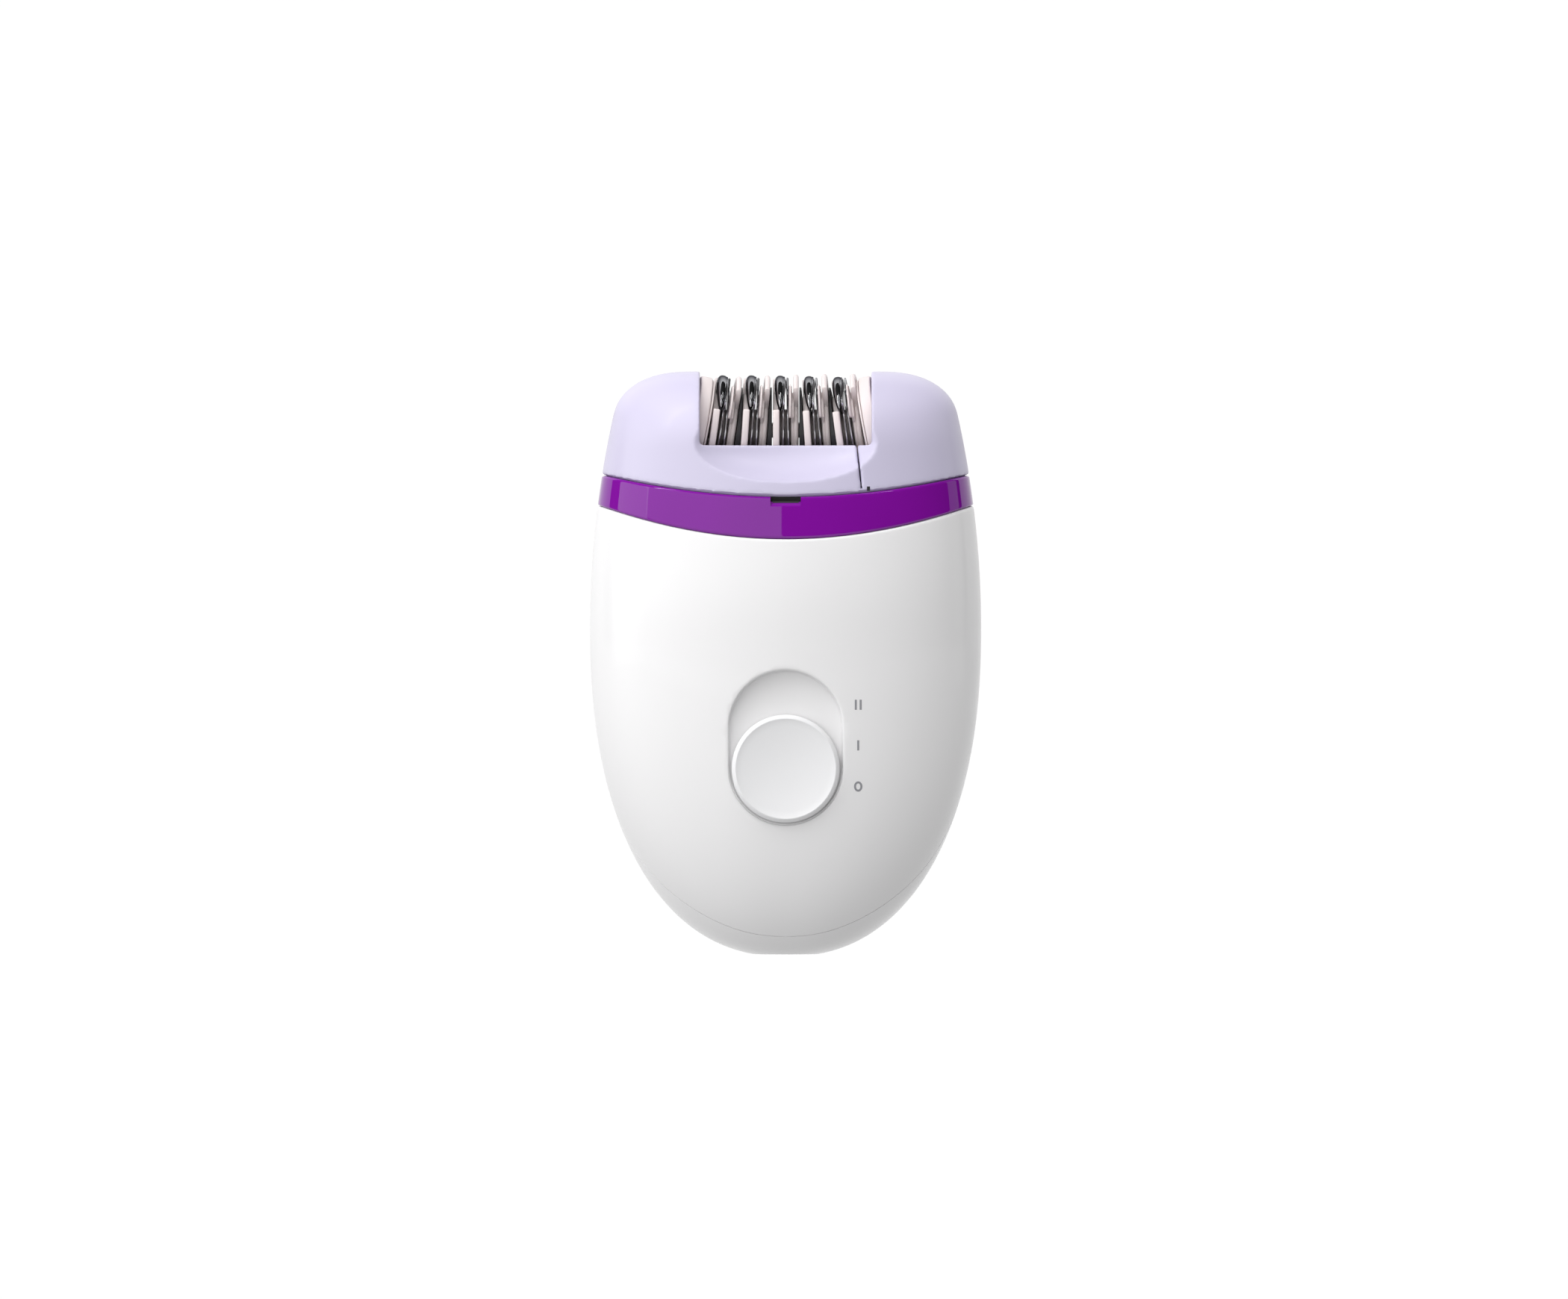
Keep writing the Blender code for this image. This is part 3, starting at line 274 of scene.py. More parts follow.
def clean(mesh, merge=1e-7, outwards=True):
    """Merge doubled vertices, drop empty faces and turn the rest outwards."""
    shape = bmesh.new()
    shape.from_mesh(mesh)
    bmesh.ops.remove_doubles(shape, verts=shape.verts, dist=merge)
    bmesh.ops.dissolve_degenerate(shape, edges=shape.edges, dist=merge)
    if outwards:
        bmesh.ops.recalc_face_normals(shape, faces=shape.faces)
    shape.to_mesh(mesh)
    shape.free()
    return mesh


def link(name, mesh):
    """New object with a mesh."""
    item = bpy.data.objects.new(name, mesh)
    SCENE.objects.link(item)
    return item


def applied(item):
    """The object with its modifiers made permanent."""
    graph = bpy.context.evaluated_depsgraph_get()
    mesh = bpy.data.meshes.new_from_object(item.evaluated_get(graph), depsgraph=graph)
    name = item.name
    bpy.data.objects.remove(item, do_unlink=True)
    return link(name, mesh)


def boolean(item, tool, operation="DIFFERENCE"):
    """The object cut by, joined to or limited to a tool, which is used up."""
    step = item.modifiers.new("step", "BOOLEAN")
    step.operation = operation
    step.object = tool
    item = applied(item)
    bpy.data.objects.remove(tool, do_unlink=True)
    clean(item.data, 1e-8, False)
    return item


def cut(item, *tools):
    """The object less each tool in turn."""
    for tool in tools:
        item = boolean(item, tool)
    return item


def place(item, body, slot, surface, *nodes, angle=35.0):
    """Shade a finished piece, give it its material, and tie it to its body and the nodes it stands for."""
    item.data.shade_smooth()
    item.data.set_sharp_from_angle(angle=math.radians(angle))
    item.data.materials.clear()
    item.data.materials.append(surface)
    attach(item, body)
    if nodes:
        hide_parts(*nodes)
    return item


def sheet_faces(rows, columns, offset, closed, flip=False):
    """Quads of a grid whose vertices run row by row from an offset."""
    faces = []
    for r in range(rows - 1):
        for c in range(columns if closed else columns - 1):
            d = (c + 1) % columns
            quad = (offset + r * columns + c, offset + r * columns + d,
                    offset + (r + 1) * columns + d, offset + (r + 1) * columns + c)
            faces.append(quad[::-1] if flip else quad)
    return faces


def walled(name, outer, inner, closed, open_rows=None, cap_base=False):
    """A thick wall between two grids of points with the same rows and columns.

    open_rows marks the rows whose two ends are real edges; where it is false they meet and get no rim.
    """
    rows, columns = outer.shape[:2]
    count = rows * columns
    faces = sheet_faces(rows, columns, 0, closed) + sheet_faces(rows, columns, count, closed, True)
    span = range(columns if closed else columns - 1)
    if cap_base:
        faces.append(tuple(range(columns - 1, -1, -1)))
        faces.append(tuple(count + c for c in range(columns)))
    else:
        faces += [(c, count + c, count + (c + 1) % columns, (c + 1) % columns) for c in span]
    top = (rows - 1) * columns
    for c in span:
        d = (c + 1) % columns
        faces.append((top + c, top + d, count + top + d, count + top + c))
    if not closed:
        for r in range(rows - 1):
            if open_rows is None or open_rows[r + 1]:
                a, b = r * columns, (r + 1) * columns
                faces.append((a, b, count + b, count + a))
                a, b = a + columns - 1, b + columns - 1
                faces.append((a, count + a, count + b, b))
    points = np.concatenate([outer.reshape(-1, 3), inner.reshape(-1, 3)])
    return link(name, clean(mesh_of(name, points, faces)))


def fillet(distance, radius):
    """How far a rounded edge falls away at a distance from the edge."""
    gap = np.clip(radius - np.asarray(distance, float), 0, radius)
    return radius - np.sqrt(np.maximum(radius ** 2 - gap ** 2, 0))


EDGE_STEPS = np.array([0.0, 0.03, 0.09, 0.18, 0.30, 0.50, 0.80])  # distances of rows beside a rounded edge


# --- handle shells -------------------------------------------------------------------------------
SEAM_EDGE, RIM_EDGE = 0.12, 0.45    # edge radii along the seam and under the collar
TOP_ROWS = COLLAR_LOW - FINE_GAP / 2 - EDGE_STEPS[::-1]
TIP_RISE = np.linspace(0, 1, 26) ** 2 * 14.0    # heights of the close rows above the seam's tip
WELL_RADIUS = 2.25
RECESS_LOW, RECESS_HIGH = BUTTON_Z + 0.1, BUTTON_Z + BUTTON_TRAVEL + 0.05
# How far each ring stands out from the recess's outline, with its height above the floor or, on the rim,
# its depth below the handle's surface
RECESS_WALL = [(-0.55, 0.0), (-0.32, 0.10), (-0.14, 0.34), (-0.05, 0.75)]
RECESS_RIM = [(0.0, 0.50), (0.07, 0.24), (0.22, 0.08), (0.50, -0.02), (0.9, -0.3), (0.9, -8.0)]
PAD_DEPTH, SLOT_HALF = 17.4, 2.05
INLET_RADIUS, INLET_REACH = 2.8, 2.5


def follow_collar(theta, nominal):
    """Real heights of rows that bend from level to the collar's curved lower edge."""
    share = np.clip((nominal - BEND_START) / (COLLAR_LOW - BEND_START), 0, 1) ** 1.5
    z = nominal.copy()
    for _ in range(3):
        x = outline_point(theta, z)[..., 0]
        z = nominal + share * COLLAR_LOW_RISE * (x / RISE_REACH) ** 2
    return z


def seam_angle(z, side, inset=0.0):
    """Angle from the side to the seam at a height; a right angle below the seam's tip."""
    reach = np.abs(seam_y(z) + side * FINE_GAP / 2) / np.maximum(half_depth(z) - inset, 0.1)
    return np.arcsin(np.clip(reach, 0, 1) ** (SECTION_POWER / 2))


def seam_tip(side, inset=0.0):
    """Height at which the seam crosses the middle of the front."""
    low, high = 0.5, 15.0
    for _ in range(50):
        middle = (low + high) / 2
        if half_depth(middle) - inset > abs(seam_y(middle) + side * FINE_GAP / 2):
            high = middle
        else:
            low = middle
    return high


def column_shares(half_arc, columns):
    """Shares of a row from -1 to 1, closer together at both ends, where the seam's edge is rounded."""
    most = half_arc[:, None] * 0.04 * np.arange(len(EDGE_STEPS))[None, :]
    steps = np.minimum(EDGE_STEPS[None, :], most)
    edge = 1 - steps / np.maximum(half_arc[:, None], 1e-6)
    inner = edge[:, -1:] * np.linspace(1, 0, columns // 2)[None, 1:]
    right = np.concatenate([edge, inner], axis=1)
    return np.concatenate([-right, right[:, -2::-1]], axis=1)


def nearest(points, others, batch=16):
    """Distance of each point to the nearest of the others."""
    distance = np.full(len(points), np.inf)
    for start in range(0, len(others), batch):
        gaps = np.linalg.norm(points[:, None, :] - others[None, start:start + batch, :], axis=2)
        distance = np.minimum(distance, gaps.min(axis=1))
    return distance


def handle_grid(nominal, front, inset, columns, rounded=True):
    """Grid of points over the front or rear shell, and which rows are open at the seam."""
    side = -1 if front else 1
    seam = seam_angle(nominal, side, inset)
    if front:
        middle, half = -math.pi / 2, math.pi / 2 - seam
    else:
        middle, half = math.pi / 2, math.pi / 2 + seam
    arc = half * (half_width(nominal) + half_depth(nominal)) / 2
    theta = middle + column_shares(arc, columns) * half[:, None]
    z = follow_collar(theta, np.repeat(nominal[:, None], theta.shape[1], axis=1))
    open_rows = seam < math.pi / 2 - 1e-6
    points = outline_point(theta, z, inset)
    if rounded:
        seam_points = np.concatenate([points[open_rows, 0], points[open_rows, -1]])
        from_seam = nearest(points.reshape(-1, 3), seam_points).reshape(theta.shape)
        from_rim = COLLAR_LOW - FINE_GAP / 2 - nominal[:, None]
        fall = np.maximum(fillet(from_seam, SEAM_EDGE), fillet(from_rim, RIM_EDGE))
        points = outline_point(theta, z, fall)
    return points, open_rows


def rows_above(tip):
    """Heights of the handle's rows above the close ones at the seam's tip."""
    return np.concatenate([np.linspace(tip + 15.2, TOP_ROWS[0] - 1.0, 54), TOP_ROWS])


def front_shell():
    """Front of the handle, with the switch recess and the lever's slot."""
    tip = seam_tip(-1)
    nominal = np.concatenate([tip + TIP_RISE, rows_above(tip)])
    outer, open_rows = handle_grid(nominal, True, 0.0, 96)
    inner, _ = handle_grid(nominal, True, WALL, 96, False)
    shell = walled("handle_front", outer, inner, False, open_rows)
    shell = boolean(shell, recess_pad(), "UNION")
    shell = cut(shell, recess_tool(), slot_tool())
    return place(shell, "handle", "white_shell", WHITE, "front_shell", angle=28)


def rear_shell():
    """Back of the handle with the flat base, the inlet and four screw wells."""
    tip = seam_tip(1)
    low = tip * (1 - np.cos(np.linspace(0, math.pi / 2, 12)))
    nominal = np.concatenate([low, tip + TIP_RISE[1:], rows_above(tip)])
    outer, open_rows = handle_grid(nominal, False, 0.0, 128)
    raised = np.maximum(nominal, 0) + 2.2 * np.clip(1 - nominal / 9.0, 0, 1)
    inner, _ = handle_grid(raised, False, WALL, 128, False)
    shell = walled("handle_rear", outer, inner, False, open_rows, cap_base=True)
    tools = [inlet_tool()]
    for number in range(1, 5):
        x, _, z = (np.add(*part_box(f"shell_screw_{number}")) / 2 / MM).tolist()
        tools.append(turned_tool("screw_well", [(WELL_RADIUS, 40.0), (WELL_RADIUS, -2.0)], x, z))
    shell = cut(shell, *tools)
    return place(shell, "handle", "white_shell", WHITE, "rear_shell", angle=28)


def turned_tool(name, profile, x, z, segments=40):
    """Round cutter along Y through a place on the front view; the profile is (radius, depth)."""
    turn = [2 * math.pi * i / segments for i in range(segments)]
    return ring_stack(name, [[(x + radius * math.cos(a), depth, z + radius * math.sin(a)) for a in turn]
                             for radius, depth in profile])


def stadium(radius, low, high, arc=24):
    """Outline of two half rounds with straight sides, between two heights of their middles."""
    upper = [(radius * math.cos(math.pi * i / arc), high + radius * math.sin(math.pi * i / arc))
             for i in range(arc + 1)]
    return upper + [(-u, low + high - v) for u, v in upper]


def ring_stack(name, rings):
    """Closed solid through rings of points, capped at both ends."""
    columns = len(rings[0])
    faces = sheet_faces(len(rings), columns, 0, True)
    faces.append(tuple(range(columns - 1, -1, -1)))
    top = (len(rings) - 1) * columns
    faces.append(tuple(top + i for i in range(columns)))
    return link(name, clean(mesh_of(name, np.concatenate([np.asarray(r) for r in rings]), faces)))


def recess_tool():
    """Cutter of the switch recess: a level floor, a rounded foot, a steep wall and a rolled rim."""
    rings = []
    for grow, height in RECESS_WALL:
        outline = stadium(RECESS_RADIUS + grow, RECESS_LOW, RECESS_HIGH, 40)
        rings.append([(x, max(RECESS_FLOOR_Y - height, float(front_y(x, z)) + 0.5), z) for x, z in outline])
    for grow, depth in RECESS_RIM:
        outline = stadium(RECESS_RADIUS + grow, RECESS_LOW, RECESS_HIGH, 40)
        rings.append([(x, float(front_y(x, z)) + depth, z) for x, z in outline])
    return ring_stack("recess_tool", rings)


def recess_pad():
    """Thickening behind the switch recess, sunk into the shell's inside."""
    outline = stadium(RECESS_RADIUS + 1.6, RECESS_LOW, RECESS_HIGH, 40)
    back = [(x, -PAD_DEPTH, z) for x, z in outline]
    front = [(x, float(front_y(x, z)) + 1.0, z) for x, z in outline]
    return ring_stack("recess_pad", [back, front])


def slot_tool():
    """Cutter of the slot that the switch lever runs in."""
    low, high = BUTTON_Z - SLOT_HALF, BUTTON_Z + BUTTON_TRAVEL + SLOT_HALF
    corners = [(-SLOT_HALF, low), (SLOT_HALF, low), (SLOT_HALF, high), (-SLOT_HALF, high)]
    return ring_stack("slot_tool", [[(x, y, z) for x, z in corners] for y in (-14.0, -24.0)])


def inlet_tool():
    """Cutter of the socket's opening in the base."""
    outline = [(v, -u) for u, v in stadium(INLET_RADIUS, -INLET_REACH, INLET_REACH)]
    return ring_stack("inlet_tool", [[(x, y, z) for x, y in outline] for z in (-3.0, 6.0)])


# --- collar --------------------------------------------------------------------------------------
COLLAR_WALL, COLLAR_EDGE = 2.0, 0.5
NOTCH_HALF, NOTCH_LEDGE, NOTCH_RISE, NOTCH_TOP = 2.8, 82.7, 1.2, 92.0
NOTCH_Y = 1.0 - float(half_depth(NOTCH_LEDGE))


def notch_tool():
    """Cutter of the notch at the front, with a ledge that rises inwards."""
    half, top = NOTCH_HALF, NOTCH_TOP
    level = NOTCH_LEDGE + NOTCH_RISE
    profile = [(-12.0, level), (NOTCH_Y, level), (-26.0, NOTCH_LEDGE - 6.0)]
    return ring_stack("notch", [[(-half, y, low), (half, y, low), (half, y, top), (-half, y, top)]
                                for y, low in profile])


def collar():
    """Ring between handle and head, with rounded edges and a notch at the front."""
    theta = np.linspace(0, 2 * math.pi, 241)[:-1]
    gap = FINE_GAP / 2
    height = COLLAR_HIGH - COLLAR_LOW - gap
    up = np.concatenate([EDGE_STEPS, np.linspace(1.2, height - 1.2, 9), height - EDGE_STEPS[::-1]])
    grids = []
    share = np.repeat((up / height)[:, None], len(theta), axis=1)
    angles = np.repeat(theta[None, :], len(up), axis=0)
    for inset in (0.0, COLLAR_WALL):
        z = COLLAR_LOW + gap + share * height
        for _ in range(4):
            x = outline_point(angles, z)[..., 0]
            low = rise_at(COLLAR_LOW + gap, COLLAR_LOW_RISE, x)
            high = rise_at(COLLAR_HIGH, COLLAR_HIGH_RISE, x)
            z = low + share * (high - low)
        edge = np.minimum(up, height - up)[:, None]
        shrink = inset or fillet(edge, COLLAR_EDGE)
        grids.append(outline_point(angles, z, shrink))
    ring = cut(walled("collar", grids[0], grids[1], True), notch_tool())
    return place(ring, "handle", "purple_collar", PURPLE, "collar_ring", angle=28)


# --- head ----------------------------------------------------------------------------------------
CROWN_BASE, BASE_RECESS = 88.0, 1.4
SEAT_RADIUS, HUB_HOLE_RADIUS = SHAFT_RADIUS + 0.3, 3.1
CHAMBER_RADIUS, CHAMBER_LEFT = 8.5, 21.0
LEFT_CHEEK, RIGHT_CHEEK = (-40.0, -22.6, 104.0), (28.4, 40.0, 102.0)
PARTING_GAP = 0.1
SIDES = ((-1, "left"), (1, "right"))
# The lip's rows: height above the collar, and distance inside the outline
LIP_PROFILE = ((0.05, 0.75), (0.60, 0.05), (0.85, 0.05))
HEAD_MARK_X, HEAD_MARK_WIDTH, HEAD_MARK_HEIGHT = 15.3, 0.55, 0.8


def fine_loft(name, heights, inset=0.0, columns=132):
    """Solid of the outline between heights, moved inwards by an inset."""
    theta = np.linspace(0, 2 * math.pi, columns + 1)[:-1]
    rings = [outline_point(theta, np.full(columns, float(z)), inset) for z in heights]
    return ring_stack(name, rings)


def rise_solid(name, low, high, reach=40.0, depth=32.0, steps=60):
    """Everything between two curves of x through the whole depth."""
    xs = np.linspace(-reach, reach, steps + 1)
    outline = [(x, float(rise_at(*low, x))) for x in xs]
    outline += [(x, float(rise_at(*high, x))) for x in xs[::-1]]
    return ring_stack(name, [[(x, y, z) for x, z in outline] for y in (-depth, depth)])


def block(name, low, high):
    """Box between two corners."""
    corners = [(low[0], low[1]), (high[0], low[1]), (high[0], high[1]), (low[0], high[1])]
    return ring_stack(name, [[(x, y, z) for x, y in corners] for z in (low[2], high[2])])


def disc_frame(joint):
    """Frame on a drum joint: z is the joint's axis, x points towards the top front."""
    axis = Vector(joint["axis"]).normalized()
    lean = math.radians(FAN_LEAN)
    top_front = Vector((0, -math.sin(lean), math.cos(lean)))
    inward = (top_front - axis * top_front.dot(axis)).normalized()
    turn = Matrix((inward, axis.cross(inward), axis)).transposed().to_4x4()
    return Matrix.Translation(Vector(joint["pos_m"])) @ turn


def drum_pocket():
    """Room for the drum: its ends lean with the end discs, and bulge no further than the design's."""
    columns = 96
    rings = []
    for side, name in SIDES:
        end = disc_frame(JOINTS[f"{name}_end_spin"])
        normal = end.to_3x3().col[2]
        origin = end.translation / MM + normal * POCKET_END * side
        ring = []
        for i in range(columns):
            angle = 2 * math.pi * i / columns
            y, z = POCKET_RADIUS * math.cos(angle), DRUM_Z + POCKET_RADIUS * math.sin(angle)
            x = origin.x + (normal.y * (origin.y - y) + normal.z * (origin.z - z)) / normal.x
            ring.append((x, y, z))
        rings.append(ring)
    return ring_stack("pocket", rings)


def scoop(side):
    """Ellipsoid cutter in front of the drum (side -1) or behind it (1)."""
    shape = bmesh.new()
    bmesh.ops.create_uvsphere(shape, u_segments=96, v_segments=48, radius=1.0)
    for vert in shape.verts:
        local = [SCOOP_SIZE[axis] * vert.co[axis] for axis in range(3)]
        vert.co = Vector((local[0], side * SCOOP_DEPTH + local[1], SCOOP_HEIGHT + local[2])) * MM
    mesh = bpy.data.meshes.new("scoop")
    shape.to_mesh(mesh)
    shape.free()
    return link("scoop", mesh)


def along_x(name, radius, low, high, z, segments=48):
    """Round bar along X at a height."""
    turn = [2 * math.pi * i / segments for i in range(segments)]
    section = [(radius * math.cos(a), z + radius * math.sin(a)) for a in turn]
    return ring_stack(name, [[(x, y, height) for y, height in section] for x in (low, high)])


def head_form(name):
    """Whole head: the outline above the collar, less the drum's room, the scoops and the base's recess."""
    low = COLLAR_HIGH + SEAM_GAP
    crown = CROWN_BASE + (CROWN_TOP - CROWN_BASE) * np.sin(np.linspace(0, math.pi / 2, 34))
    head = fine_loft(name, [80.0, 84.0, 86.0] + list(crown))
    head = boolean(head, rise_solid("above", (low, COLLAR_HIGH_RISE), (130.0, 0.0)), "INTERSECT")
    head = cut(head, drum_pocket(), block("opening", (-OPENING_HALF, -30, LIP_Z), (OPENING_HALF, 30, 118)))
    head = cut(head, scoop(-1), scoop(1))
    band = rise_solid("band", (70.0, 0.0), (low + BASE_RECESS, COLLAR_HIGH_RISE))
    recess = boolean(fine_loft("base_recess", [80.0, 85.0, 90.0, 95.0], WALL), band, "INTERSECT")
    return cut(head, recess)


def cheek_space(name, low, high, top):
    """Hollow of a cheek between two places across, up to a height."""
    space = fine_loft(name, np.linspace(80.0, top, 12), WALL, 72)
    return boolean(space, block("range", (low, -40, 70), (high, 40, 120)), "INTERSECT")


def beside_parting(name, far_x, gap):
    """Everything on one side of the slanted parting of the head."""
    near = [(PARTING_X + PARTING_SLOPE * (LIP_Z - z) + gap, z) for z in (50.0, 130.0)]
    outline = near + [(far_x, 130.0), (far_x, 50.0)]
    return ring_stack(name, [[(x, y, z) for x, z in outline] for y in (-50.0, 50.0)])


def softened(item, voxel, passes):
    """Remake a cut solid with an even mesh and let its edges round off."""
    remake = item.modifiers.new("remake", "REMESH")
    remake.mode = "VOXEL"
    remake.voxel_size = voxel * MM
    ease = item.modifiers.new("ease", "SMOOTH")
    ease.factor = 0.5
    ease.iterations = passes
    return applied(item)


HEAD_VOXEL = 0.32
HEAD_PASSES = 7


def gear_chamber():
    """Room for the drum gear and the idler below it."""
    section = stadium(CHAMBER_RADIUS, 80.0, DRUM_Z)
    ends = (CHAMBER_LEFT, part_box("drum_gear")[1][0] / MM + 0.5)
    return ring_stack("chamber", [[(x, y, z) for y, z in section] for x in ends])


def head():
    """Head frame, and the side cover right of the parting."""
    left = head_form("head_left")
    left = boolean(left, beside_parting("left_part", -50.0, -PARTING_GAP), "INTERSECT")
    left = cut(left, cheek_space("left_cheek", *LEFT_CHEEK))
    left = cut(left, along_x("shaft_seat", SEAT_RADIUS, -22.0, -15.0, DRUM_Z))
    left = softened(left, HEAD_VOXEL, HEAD_PASSES)
    place(left, "head", "lilac_head", LILAC, "head_frame", angle=60)
    right = head_form("head_right")
    right = boolean(right, beside_parting("right_part", 50.0, PARTING_GAP), "INTERSECT")
    right = cut(right, gear_chamber())
    right = cut(right, cheek_space("right_cheek", *RIGHT_CHEEK))
    right = cut(right, along_x("hub_hole", HUB_HOLE_RADIUS, 14.0, 22.0, DRUM_Z))
    right = cut(right, along_x("shaft_seat", SEAT_RADIUS, 23.0, 27.0, DRUM_Z))
    right = softened(right, HEAD_VOXEL, HEAD_PASSES)
    place(right, "head", "lilac_head", LILAC, "head_side_cover", angle=60)


def head_lip():
    """Recessed edge of the head that closes the view into the gap above the collar."""
    theta = np.linspace(0, 2 * math.pi, 241)[:-1]
    grids = []
    for inner in (False, True):
        rows = []
        for up, back in LIP_PROFILE:
            z = np.full(len(theta), COLLAR_HIGH + up)
            for _ in range(4):
                z = rise_at(COLLAR_HIGH + up, COLLAR_HIGH_RISE, outline_point(theta, z)[:, 0])
            rows.append(outline_point(theta, z, WALL if inner else back))
        grids.append(np.array(rows))
    place(walled("head_lip", grids[0], grids[1], True), "head", "lilac_head", LILAC)


def head_mark():
    """Small moulded alignment mark on the head's lower edge, beside the parting."""
    low = float(rise_at(COLLAR_HIGH + SEAM_GAP, COLLAR_HIGH_RISE, HEAD_MARK_X))
    rings = bar_rings(HEAD_MARK_X, low + HEAD_MARK_HEIGHT / 2, HEAD_MARK_WIDTH, HEAD_MARK_HEIGHT)
    printed("head_mark", rings, "head", BLACK_AND_SHADE)


# --- drum ----------------------------------------------------------------------------------------
# Radii in a unit, spans in degrees from the top towards the front, and places along the unit's axis
HUB_RADIUS, RING_RADIUS, BLADE_RADIUS = 3.9, 7.6, 10.0
SHORT_BASE, LONG_BASE, PLATE_BASE, PLATE_TIP = 6.7, 6.6, 6.55, 8.0
SHORT_BAR, LONG_BAR, NIB_PLATE = (59.0, 158.0), (-6.0, 99.0), (-34.0, 20.0)
SHORT_X, PLATE_X, LONG_X = (-2.35, -1.15), (0.98, 1.55), (1.42, 2.42)
LEFT_EAR, RIGHT_EAR = (-20.0, 110.0), (50.0, 110.0)
BLADE_X, FLARE = (0.31, 0.71), {-1: 0.32, 1: 0.62}
TIP_START, TIP_END, TIP_FOOT = -20.0, 47.0, 59.5
TIP_SIDES, TIP_RADIUS, TIP_HEIGHT = (-2.3, -0.06), 8.45, 1.72
# The fin's top edge: degrees and radius
NIB_TOPS = ((-30.0, 8.6), (-24.0, 9.6), (-16.0, 10.15), (-6.0, 10.32), (4.0, 10.3), (12.0, 9.9),
            (16.0, 9.3))
NIB_FOOT, NIB_WAIST = 7.75, 9.1


def from_top(angle):
    """Degrees from the top towards the front, for an angle in a disc's own frame, from -60 to 120."""
    return (FAN_LEAN - np.degrees(angle) + 60.0) % 180.0 - 60.0


def ramp(value, low, high):
    """Smooth step from 0 at low to 1 at high."""
    step = np.clip((value - low) / (high - low), 0, 1)
    return step * step * (3 - 2 * step)


def ear_share(turn, span, soft):
    """1 on an ear, 0 off it, with soft ends."""
    wrapped = np.where(turn < span[0] - 12, turn + 180, turn)
    return ramp(wrapped, span[0], span[0] + soft) * (1 - ramp(wrapped, span[1] - soft, span[1]))


def polar_plate(name, hole, reach, low, high, rows, columns, rim):
    """Plate in polar form: reach(angle) is its outline, low and high its faces, rim its edge's radius."""
    angle = np.linspace(0, 2 * math.pi, columns + 1)[:-1]
    outer = reach(angle)
    inward = np.linspace(0, 1, rows)
    edges = np.array([1.0, 0.6, 0.3, 0.1, 0.0]) * rim
    radius = hole + (outer[None, :] - rim - hole) * inward[:, None]
    radius = np.concatenate([radius, outer[None, :] - edges[1:, None]])
    spread = np.repeat(angle[None, :], len(radius), axis=0)
    fall = fillet(np.maximum(outer[None, :] - radius, 0), rim)
    faces_at = []
    for height, sign in ((low, 1), (high, -1)):
        z = height(radius, spread) + sign * fall
        faces_at.append(np.stack([radius * np.cos(spread), radius * np.sin(spread), z], axis=-1))
    return walled(name, faces_at[1], faces_at[0], True)


def steady(value):
    """Level face of a polar plate."""
    return lambda radius, angle: np.full(radius.shape, value)


def round_rim(radius):
    """Circular outline of a polar plate."""
    return lambda angle: np.full(angle.shape, radius)


def eared_rim(base, tip, span, soft):
    """Circular outline with two opposite ears that reach further out."""
    return lambda angle: base + (tip - base) * ear_share(from_top(angle), span, soft)


def spool_mesh():
    """Hub, short bar on the left, and a round plate with a long bar on the right."""
    bore = SHAFT_RADIUS + 0.8
    short = polar_plate("short", bore, eared_rim(SHORT_BASE, RIM_RADIUS - 0.2, SHORT_BAR, 3.0),
                        steady(SHORT_X[0]), steady(SHORT_X[1]), 10, 240, 0.30)
    long = polar_plate("long", bore, eared_rim(LONG_BASE, RIM_RADIUS, LONG_BAR, 9.0),
                       steady(LONG_X[0]), steady(LONG_X[1]), 10, 240, 0.46)
    plate = polar_plate("plate", bore + 0.05, eared_rim(PLATE_BASE, PLATE_TIP, NIB_PLATE, 6.0),
                        steady(PLATE_X[0]), steady(PLATE_X[1]), 4, 120, 0.2)
    hub = polar_plate("hub", bore - 0.05, round_rim(HUB_RADIUS),
                      steady(SHORT_X[1] - 0.2), steady(PLATE_X[0] + 0.22), 3, 60, 0.1)
    for addition in (short, plate, long, nib_mesh(0), nib_mesh(180)):
        hub = boolean(hub, addition, "UNION")
    return hub


def nib_mesh(half):
    """Narrow pointed fin behind the top, standing on the round plate."""
    rings = []
    for turn, top in NIB_TOPS:
        angle = math.radians(FAN_LEAN - turn + half)
        waist = min(NIB_WAIST, top - 0.2)
        section = [(NIB_FOOT, 0.55), (NIB_FOOT, 1.20), (waist, 1.12), (top, 0.94), (top, 0.72), (waist, 0.57)]
        rings.append([(r * math.cos(angle), r * math.sin(angle), z) for r, z in section])
    return ring_stack("nib", rings)


def tweezer_mesh(side):
    """Steel disc with eared rim; the front of each ear is bent outwards."""
    ear = LEFT_EAR if side < 0 else RIGHT_EAR

    def bend(radius, angle):
        turn = from_top(angle)
        flare = FLARE[side] * np.clip((turn - 90.0) / 9.0, 0, 1) * ramp(radius, 7.6, 9.0)
        waist = 0.10 * ramp(radius, 7.4, 8.2) * ramp(turn, 52.0, 60.0) * (1 - ramp(turn, 80.0, 88.0))
        return flare - waist

    def inner(radius, angle):
        return side * (BLADE_X[0] + bend(radius, angle))

    def outer(radius, angle):
        return side * (BLADE_X[1] + bend(radius, angle))

    low, high = (inner, outer) if side > 0 else (outer, inner)
    disc = polar_plate("tweezer", HUB_RADIUS + 0.7, eared_rim(RING_RADIUS, BLADE_RADIUS, ear, 4.0),
                       low, high, 18, 240, 0.18)
    if side < 0:
        for half in (0, 180):
            disc = boolean(disc, tip_mesh(half), "UNION")
    return disc


